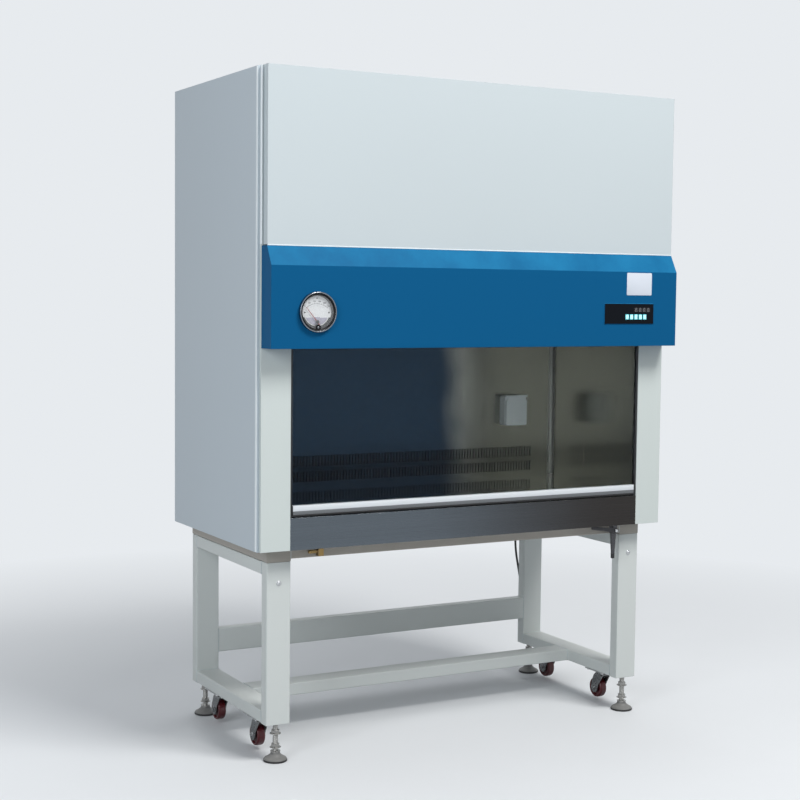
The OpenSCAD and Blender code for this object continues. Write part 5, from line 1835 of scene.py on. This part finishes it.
@dataclass
class Window:
    """Sash, guides, apron and the drive behind the fascia."""

    half_w: float = 0.645
    rail_half: float = 0.636
    rail_y: float = -0.3137
    rail_foot_z: float = 0.7652

    def wiper(self) -> None:
        """Makes the rubber wiper under the fascia, just in front of the glass."""
        outline = [(-0.3150, 1.2745), (-0.3150, 1.2770), (-0.3105, 1.2770), (-0.3105, 1.2745),
                   (-0.3098, 1.2700), (-0.3110, 1.2695), (-0.3128, 1.2735)]
        shape = Shape()
        reach = self.half_w - 0.001
        shape.skin([shape.ring((x, y, z) for y, z in outline) for x in (-reach, reach)], ends=True)
        shape.piece("glass_wiper", "seal", CABINET, "belt_rubber")

    def rail_caps(self) -> None:
        """Makes the end caps and the seal of the sash's bottom rail."""
        shape = Shape()
        foot, inner = self.rail_foot_z, self.rail_half - 0.002
        for side in (-1, 1):
            low, high = sorted((side * self.rail_half, side * (self.rail_half + 0.0012)))
            shape.box((low, self.rail_y - 0.0001, foot), (high, -0.2972, 0.7978), 0.0004)
        shape.box((-inner, -0.3085, foot - 0.0040), (inner, -0.3015, foot), 0.0012)
        shape.piece("rail_caps", "seal", "sash", "belt_rubber")

    def rail_face(self) -> None:
        """Makes the bright face strip of the bottom rail, the lip under it darkened as painted shade, and a
        black strip under that which paints the shadow gap.
        """
        half = self.rail_half - 0.0003
        for name, finish, slot, out, low, high, edge in (
                ("rail_face", "rail_face", "rail_aluminium", 0.0012, 0.7807, 0.7979, 0.0005),
                # Painted shade: the lip's dark grey, and the black strip below it, which paints the shadow
                # gap under the rail.
                ("rail_lip", "lip", "rail_aluminium", 0.0008, 0.7700, 0.7802, 0.0003),
                ("rail_gasket", "seal", "belt_rubber", 0.0005, self.rail_foot_z, 0.7695, 0.0002)):
            strip = Shape().box((-half, self.rail_y - out, low), (half, self.rail_y, high), edge)
            strip.piece(name, finish, "sash", slot)

    def build(self) -> None:
        """Dresses the window."""
        dress("pane", "sash_glass")
        dress("rail", "sash_rails")
        dress("guide", "sash_guides")
        dress("apron_steel", "front_apron")
        dress("motor", "sash_drive")
        dress("belt", "drive_belts")
        dress("zinc", "drive_shaft", "idler_pulleys")
        self.wiper()
        self.rail_face()
        self.rail_caps()


# ---- Work chamber ----


@dataclass
class Chamber:
    """Steel chamber with its covings, lamps and socket."""

    half_w: float = 0.680
    back_y: float = 0.253
    tray_z: float = 0.774
    ceiling_z: float = 1.394
    cove_r: float = 0.016
    slot_half: float = 0.640
    slot_z: Pair = (0.784, 0.888)
    tubes: tuple[Triple, ...] = ((-0.260, 1.372, 0.0133), (0.228, 1.377, 0.0083))
    tube_half: float = 0.4475
    socket_at: Pair = (0.497, 1.009)
    seal_size: Pair = (0.076, 0.080)

    def covings(self) -> None:
        """Makes the rounded rear corners."""
        shape = Shape()
        r, x, y = self.cove_r, self.half_w - 0.0001, self.back_y - 0.0001
        turns = [math.pi / 2 * k / 8 for k in range(9)]
        outline = [(x - r + r * math.sin(t), y - r + r * math.cos(t)) for t in turns] + [(x, y)]
        for corner in ([(-a, b) for a, b in outline], outline[::-1]):
            shape.prism(corner, self.ceiling_z - self.tray_z - 0.002, place_at((0, 0, self.tray_z + 0.001)))
        shape.piece("chamber_covings", "coving", CABINET, "stainless", 30.0)

    def slot_shade(self) -> None:
        """Makes a dark sheet behind the return slots of the rear wall, painted shade for the dark duct
        behind them.
        """
        low, high = self.slot_z
        shape = Shape().box((-self.slot_half, self.back_y + 0.0035, low),
                            (self.slot_half, self.back_y + 0.0045, high), 0.0003)
        shape.piece("return_slot_screen", "black", CABINET, "guide_black")

    def lamp_ends(self) -> None:
        """Makes the metal caps and pins at the ends of both lamps."""
        shape = Shape()
        for y, z, r in self.tubes:
            profile = [(0, 0), (r - 0.001, 0), (r, 0.001), (r, 0.020), (r - 0.0008, 0.0225),
                       (r - 0.0008, 0.0265), (0.0, 0.0268)]
            for axis, x in ((Axis.X, -self.tube_half), (Axis.LEFT, self.tube_half)):
                shape.lathe(profile, place_at((x, y, z), axis), 32)
        shape.piece("lamp_end_caps", "lamp_end", CABINET, "galvanised")

    def socket(self) -> None:
        """Makes the contacts in the socket, the grip on its cover and the seal behind it."""
        x0, z0 = self.socket_at
        shape = Shape()
        sleeve = [(0.0019, 0.0), (0.0024, 0.0), (0.0024, 0.014), (0.0019, 0.014), (0.0019, 0.0)]
        for dx in (-0.0095, 0.0095):
            shape.lathe(sleeve, place_at((x0 + dx, 0.244, z0), Axis.FRONT), 20)
        shape.piece("socket_contacts", "brass", CABINET, "brass")
        grip = Shape()
        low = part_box("socket_cover")[0]
        for k in range(6):
            z = low.z + 0.006 + k * 0.0028
            grip.box((x0 - 0.014, low.y - 0.0011, z), (x0 + 0.014, low.y + 0.0004, z + 0.0013), 0.0005)
        grip.piece("cover_grip", "white", "socket_cover", "white_plastic")
        seal = Shape()
        place = place_at((x0, 0.2206, z0 + 0.008), Axis.FRONT)
        wide, tall = self.seal_size
        rows = [(0.0, 0.0), (0.0, 0.0006), (0.004, 0.0006), (0.004, 0.0)]
        seal.skin([seal.section(rounded(wide - cut, tall - cut, 0.007), out, place) for cut, out in rows])
        seal.piece("socket_seal", "seal", CABINET, "belt_rubber")

    def build(self) -> None:
        """Dresses the chamber."""
        dress("steel", "chamber_back", "chamber_sides", "ceiling_diffuser")
        dress("tray_steel", "work_tray", "intake_grille")
        dress("lamp", "lamps")
        dress("white", "socket_body", "socket_cover")
        self.covings()
        self.slot_shade()
        self.lamp_ends()
        self.socket()


# ---- Air system ----


@dataclass
class AirSystem:
    """Filters, plenum and blower inside the casing."""

    clamp: float = 0.016
    clamp_inset: float = 0.001

    def clamps(self) -> None:
        """Makes the clamping corners on the exhaust filter's frame."""
        low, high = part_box("exhaust_filter")
        shape = Shape()
        for y, inward in ((low.y, 1), (high.y, -1)):
            for x, across in ((low.x, 1), (high.x, -1)):
                near, far = self.clamp_inset, self.clamp_inset + self.clamp
                xs = sorted((x + across * near, x + across * far))
                ys = sorted((y + inward * near, y + inward * far))
                shape.box((xs[0], ys[0], high.z - 0.0004), (xs[1], ys[1], high.z + 0.004), 0.001)
                shape.hex(place_at((sum(xs) / 2, sum(ys) / 2, high.z + 0.004)), 0.009, 0.005)
        shape.piece("exhaust_filter_clamps", "zinc", CABINET, "zinc")

    def build(self) -> None:
        """Dresses the air system."""
        dress("paper", "supply_filter", "exhaust_filter")
        dress("sheet", "plenum_box", "blower_housing", "blower_impeller")
        self.clamps()


# ---- Stand ----


@dataclass
class Stand:
    """Welded tube stand: its beads, end plates, bolts and feet."""

    tube: Pair = (0.080, 0.040)
    beam_z: Pair = (0.137, 0.599)
    rear_beam_z: float = 0.254
    middle_beam_y: float = 0.073
    frame_z: float = 0.6445
    bolt_z: float = 0.555
    caster_screw: Pair = (0.031, 0.040)
    inner_x: float = 0.618
    front_y: float = -0.221
    rear_y: float = 0.328
    bead_r: float = 0.0016
    feet_y: Pair = (-0.241, 0.348)

    def bead(self, shape: Shape, centre: Point, size: Pair, axis: Axis) -> None:
        """Adds a weld bead round a tube's end.

        Args:
            shape: The shape that it goes into.
            centre: Middle of the tube's end.
            size: Width and height of the tube.
            axis: Where the end faces.
        """
        loop = [place_at(centre, axis) @ Vector((x, y, 0)) for x, y in rounded(*size, 0.004, 3)]
        path = []
        for a, b in zip(loop, loop[1:] + loop[:1]):
            count = max(1, round((b - a).length / 0.0022))
            path += [a.lerp(b, k / count) for k in range(count)]
        path.append(path[0].copy())
        shape.sweep(path, lambda s: self.bead_r * (0.82 + 0.18 * math.cos(s * len(path) * math.pi)), 6)

    def welds(self) -> None:
        """Makes every bead of the stand and the base frame."""
        shape = Shape()
        for side in (-1, 1):
            x, inner_x = side * LEG_X, side * self.inner_x
            for z in self.beam_z:
                self.bead(shape, (x, self.front_y, z), self.tube, Axis.Y)
                self.bead(shape, (x, self.rear_y, z), self.tube, Axis.FRONT)
            inward = Axis.LEFT if side > 0 else Axis.X
            self.bead(shape, (inner_x, self.feet_y[1], self.rear_beam_z), self.tube, inward)
            self.bead(shape, (inner_x, self.middle_beam_y, self.beam_z[0]), self.tube[::-1], inward)
            for y in self.feet_y:
                self.bead(shape, (inner_x, y, self.frame_z), (0.035, 0.040), inward)
        shape.piece("stand_welds", "weld", CABINET, "stand_paint", 60.0)

    def end_plates(self) -> None:
        """Makes the welded plates that close the base frame's side tubes."""
        shape = Shape()
        for x in (-LEG_X, LEG_X):
            for y, axis in ((LEG_FRONT_Y + 0.0022, Axis.FRONT), (LEG_REAR_Y - 0.0022, Axis.Y)):
                shape.plate((x, y, 0.6405), (0.0794, 0.0414, 0.0026), 0.003, 0.0006, axis)
        shape.piece("frame_end_plates", "frame", CABINET, "stand_paint")

    def bolts(self) -> None:
        """Makes the bolt in each leg and the screws of the caster plates."""
        shape = Shape()
        washer = [(0, 0), (0.0085, 0), (0.0085, 0.0010), (0.0080, 0.0014), (0, 0.0014)]
        dx, dy = self.caster_screw
        for x in (-LEG_X, LEG_X):
            for y, axis in ((LEG_FRONT_Y, Axis.FRONT), (LEG_REAR_Y, Axis.Y)):
                place = place_at((x, y, self.bolt_z), axis)
                shape.lathe(washer, place, 28)
                shape.screw(place @ Matrix.Translation((0, 0, 0.0012)), 0.0062, 0.0034)
            for y in CASTER_Y.values():
                for at in ((x - dx, y - dy), (x - dx, y + dy), (x + dx, y - dy), (x + dx, y + dy)):
                    shape.hex(place_at((*at, 0.1142), Axis.DOWN), 0.010, 0.0045)
        shape.piece("stand_bolts", "zinc", CABINET, "zinc")

    def thread(self, body: str, x: float, y: float) -> None:
        """Makes the rolled thread on a foot's stem, its locking ring and its two collars.

        Args:
            body: The foot's body.
            x: The stem's middle.
            y: The stem's middle.
        """
        shape = Shape()
        steps, pitch, low, high = 18, 0.0025, 0.0315, 0.150
        crest_r, root_r, bore = 0.00845, 0.0078, 0.0079
        count = int((high - low) / pitch * steps)
        crest, root = [], []
        for i in range(count + 1):
            t, z = 2 * math.pi * i / steps, low + pitch * i / steps
            crest += shape.ring([(x + crest_r * math.cos(t), y + crest_r * math.sin(t), z)])
            root += shape.ring([(x + root_r * math.cos(t), y + root_r * math.sin(t), z + pitch / 2)])
        for i in range(count - steps):
            shape.bm.faces.new([crest[i], crest[i + 1], root[i + 1], root[i]])
            shape.bm.faces.new([root[i], root[i + 1], crest[i + steps + 1], crest[i + steps]])
        shape.lathe([(bore, 0.0), (0.0150, 0.0), (0.0158, 0.0006), (0.0158, 0.0018), (0.0150, 0.0024),
                     (bore, 0.0024)], place_at((x, y, 0.0300)), 36)
        for z in (0.0440, 0.0870):
            shape.lathe([(bore, -0.0020), (0.0170, -0.0020), (0.0174, -0.0016), (0.0174, -0.0004),
                         (0.0170, 0.0), (bore, 0.0)], place_at((x, y, z)), 36)
        shape.piece(f"stem_thread_{body.removeprefix('foot_')}", "stud", body, "zinc")

    def grip_pad(self, body: str, x: float, y: float) -> None:
        """Makes the rubber sole that shows under a foot's rim.

        Args:
            body: The foot's body.
            x: The foot's middle.
            y: The foot's middle.
        """
        shape = Shape()
        shape.lathe([(0.0, 0.0001), (0.0352, 0.0001), (0.0368, 0.0010), (0.0372, 0.0030), (0.0370, 0.0054),
                     (0.0362, 0.0062), (0.0345, 0.0064)], place_at((x, y, 0.0)), 48)
        shape.piece(f"foot_sole_{body.removeprefix('foot_')}", "seal", body, "belt_rubber")

    def build(self) -> None:
        """Dresses the stand."""
        dress("stand", "stand_frame")
        dress("frame", "base_frame")
        self.end_plates()
        self.welds()
        self.bolts()
        for side, x in (("left", -LEG_X), ("right", LEG_X)):
            for end, y in (("front", self.feet_y[0]), ("rear", self.feet_y[1])):
                body = f"foot_{end}_{side}"
                dress("foot", body)
                self.thread(body, x, y)
                self.grip_pad(body, x, y)


# ---- Casters ----


@dataclass
class Casters:
    """Four swivel casters: pressed forks over cast wheels."""

    axle_z: float = 0.047
    trail: float = 0.025
    sheet: float = 0.0030
    half_gap: float = 0.0165
    bend: float = 0.0070
    end_r: float = 0.0185
    crown_half: float = 0.0235
    crown_z: float = 0.0995
    swell: float = 0.010
    race_z: float = 0.1000
    wheel_color: Color = (0.085, 0.005, 0.009)
    hub_color: Color = (0.20, 0.20, 0.21)

    def half_depth(self, z: float) -> Pair:
        """Front and rear edge of a fork's sheet at a height.

        Args:
            z: The height.

        Returns:
            Both edges behind the swivel axis.
        """
        if z < self.axle_z:
            half = math.sqrt(max(0.0, self.end_r ** 2 - (self.axle_z - z) ** 2))
            return self.trail - half, self.trail + half
        share = min(1.0, (z - self.axle_z) / (0.098 - self.axle_z))
        low, high = self.trail - self.end_r, self.trail + self.end_r
        return (low + (-self.crown_half - low) * share ** 1.15,
                high + (self.crown_half - high + self.swell) * share ** 0.8 - self.swell * share ** 3)

    def fork(self, end: str, side: str, x: float, y: float) -> None:
        """Makes one fork as a bent sheet, with its raceway, axle bolt and nut.

        Args:
            end: front or rear.
            side: left or right.
            x: The swivel axis.
            y: The swivel axis.
        """
        body = f"caster_fork_{end}_{side}"
        foot_z, bend_z = self.axle_z - self.end_r + 1e-7, self.crown_z - self.bend
        line: list[tuple[float, float, float, float]] = []
        for k in range(15):
            line.append((-self.half_gap, foot_z + (bend_z - self.axle_z + self.end_r) * (k / 14) ** 1.15,
                         -1.0, 0.0))
        for k in range(1, 7):
            t = math.pi / 2 * k / 6
            line.append((-self.half_gap + self.bend - self.bend * math.cos(t),
                         bend_z + self.bend * math.sin(t), -math.cos(t), math.sin(t)))
        line += [(-px, pz, -nx, nz) for px, pz, nx, nz in reversed(line)]
        shape = Shape()
        rows = []
        for px, pz, nx, nz in line:
            y0, y1 = self.half_depth(pz)
            across = [y + y0 + (y1 - y0) * k / 6 for k in range(7)]
            faces = [(self.sheet / 2, at) for at in across] + [(-self.sheet / 2, at) for at in across[::-1]]
            rows.append(shape.ring((x + px + nx * push, at, pz + nz * push) for push, at in faces))
        shape.skin(rows)
        for row in (rows[0], rows[-1]):
            for k in range(6):
                shape.bm.faces.new([row[k], row[k + 1], row[12 - k], row[13 - k]])
        race = [(0.0062, 0.0), (0.0225, 0.0), (0.0240, 0.0012), (0.0244, 0.0030), (0.0236, 0.0042),
                (0.0205, 0.0046), (0.0062, 0.0046), (0.0062, 0.0)]
        shape.lathe(race, place_at((x, y, self.race_z)), 48)
        y_axle, z_axle = y + self.trail, self.axle_z
        reach = self.half_gap + self.sheet / 2
        washer = [(0, 0), (0.0082, 0), (0.0082, 0.0009), (0.0076, 0.0013), (0, 0.0013)]
        for axis, sign in ((Axis.X, 1), (Axis.LEFT, -1)):
            shape.lathe(washer, place_at((x + sign * reach, y_axle, z_axle), axis), 28)
            head = place_at((x + sign * (reach + 0.0013), y_axle, z_axle), axis, 0.3)
            shape.hex(head, 0.0122, 0.0046)
        bolt = 2 * reach + 0.012
        shape.lathe([(0, 0), (0.0038, 0), (0.0038, bolt), (0, bolt)],
                    place_at((x - reach - 0.006, y_axle, z_axle), Axis.X), 20)
        made = shape.piece(f"fork_sheet_{end}_{side}", "fork", body, "zinc", 40.0)
        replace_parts(made, body)

    def bearing(self, end: str, side: str, x: float, y: float) -> None:
        """Makes the bearing seals, the spokes and the rim's lips on both sides of a wheel.

        Args:
            end: front or rear.
            side: left or right.
            x: The swivel axis.
            y: The swivel axis.
        """
        shape = Shape()
        seal = [(0.0103, 0.0), (0.0118, 0.0), (0.0118, 0.0012), (0.0112, 0.0018), (0.0103, 0.0018)]
        lip = [(0.0215, 0.0), (0.0228, 0.0), (0.0228, 0.0010), (0.0222, 0.0014), (0.0215, 0.0010)]
        spoke = [(-0.0052, -0.0011), (0.0052, -0.0014), (0.0052, 0.0014), (-0.0052, 0.0011)]
        for axis, sign in ((Axis.X, 1), (Axis.LEFT, -1)):
            place = place_at((x + sign * 0.0062, y + self.trail, self.axle_z), axis)
            shape.lathe(seal, place, 36)
            shape.lathe(lip, place, 48)
            for k in range(6):
                turn = Matrix.Rotation(math.pi / 3 * k + 0.3, 4, "Z")
                shape.prism(spoke, 0.0012, place @ turn @ Matrix.Translation((0.0165, 0, 0)))
        shape.piece(f"wheel_hub_{end}_{side}", f"wheel_{end}", f"caster_wheel_{end}_{side}", "wheel_red",
                    40.0)

    def build(self) -> None:
        """Makes the forks and dresses the wheels."""
        for end, y in CASTER_Y.items():
            finish = f"wheel_{end}"
            MADE[finish] = WheelFinish(
                f"wheel_cast_{end}", self.wheel_color, 0.30, hub=self.hub_color,
                centre=(0.0, y + self.trail, self.axle_z), hub_radius=0.0101).make()
            for side, x in (("left", -LEG_X), ("right", LEG_X)):
                self.fork(end, side, x, y)
                self.bearing(end, side, x, y)
                dress(finish, f"caster_wheel_{end}_{side}")
        dress("zinc", "caster_plates")


# ---- Services ----


@dataclass
class Services:
    """Drain valve and hose fitting under the apron."""

    valve: Triple = (0.574, -0.286, 0.642)
    lever_l: float = 0.098
    lever_out: float = 0.0149
    crank: float = 0.015
    nut_out: float = 0.0178
    fitting_x: float = -0.532

    def lever_sleeve(self) -> None:
        """Makes the dipped sleeve on the lever's end."""
        shape = Shape()
        x, y, z = self.valve
        mid_y = y - self.lever_out
        slope = self.crank / self.lever_l
        sections = [(0.052, 0.0050, 0.0030), (0.056, 0.0062, 0.0036), (0.070, 0.0060, 0.0035),
                    (0.084, 0.0062, 0.0036), (0.096, 0.0064, 0.0036), (0.0995, 0.0056, 0.0030),
                    (0.1005, 0.0040, 0.0018)]
        rings = []
        for along, tall, deep in sections:
            outline = rounded(2 * tall, 2 * deep, min(tall, deep) * 0.98, 5)
            rings.append(shape.ring((x - along, mid_y + b, z + slope * along + a) for a, b in outline))
        shape.skin(rings, ends=True)
        shape.piece("lever_sleeve", "lever", "drain_valve_lever", "lever_black", 50.0)

    def rings(self) -> None:
        """Makes the turned rings of the valve's body and the nut that holds its lever."""
        x, y, z = self.valve
        shape = Shape()
        for low, r in ((0.6335, 0.0136), (0.6475, 0.0136), (0.5605, 0.0072)):
            profile = [(r - 0.002, 0.0), (r, 0.0004), (r + 0.0004, 0.0012), (r, 0.0020),
                       (r - 0.002, 0.0024)]
            shape.lathe(profile, place_at((x, y, low)), 40)
        shape.piece("valve_rings", "valve", CABINET, "valve_grey")
        nut = Shape()
        nut.hex(place_at((x, y - self.nut_out, z), Axis.FRONT), 0.010, 0.0036)
        nut.piece("lever_nut", "zinc", "drain_valve_lever", "zinc")

    def fitting_nut(self) -> None:
        """Makes the nut on the service fitting, under the apron's left end."""
        shape = Shape()
        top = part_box("service_fitting")[1].z
        shape.hex(place_at((self.fitting_x, self.valve[1], top - 0.0062)), 0.017, 0.0045)
        shape.piece("fitting_nut", "brass", CABINET, "brass")

    def build(self) -> None:
        """Dresses the services."""
        dress("valve", "drain_valve_body")
        dress("lever", "drain_valve_lever")
        dress("brass", "service_fitting")
        self.lever_sleeve()
        self.rings()
        self.fitting_nut()


def main() -> None:
    """Builds every sub-assembly in order."""
    logging.basicConfig(level=logging.INFO, format="%(message)s")
    parts = [Studio(), MainsCord(), Casing(), PressureGauge(), ControlPanel(), Window(), Chamber(),
             AirSystem(), Stand(), Casters(), Services()]
    for part in parts:
        part.build()
        log.info("built %s", type(part).__name__)


if __name__ == "__main__":
    main()
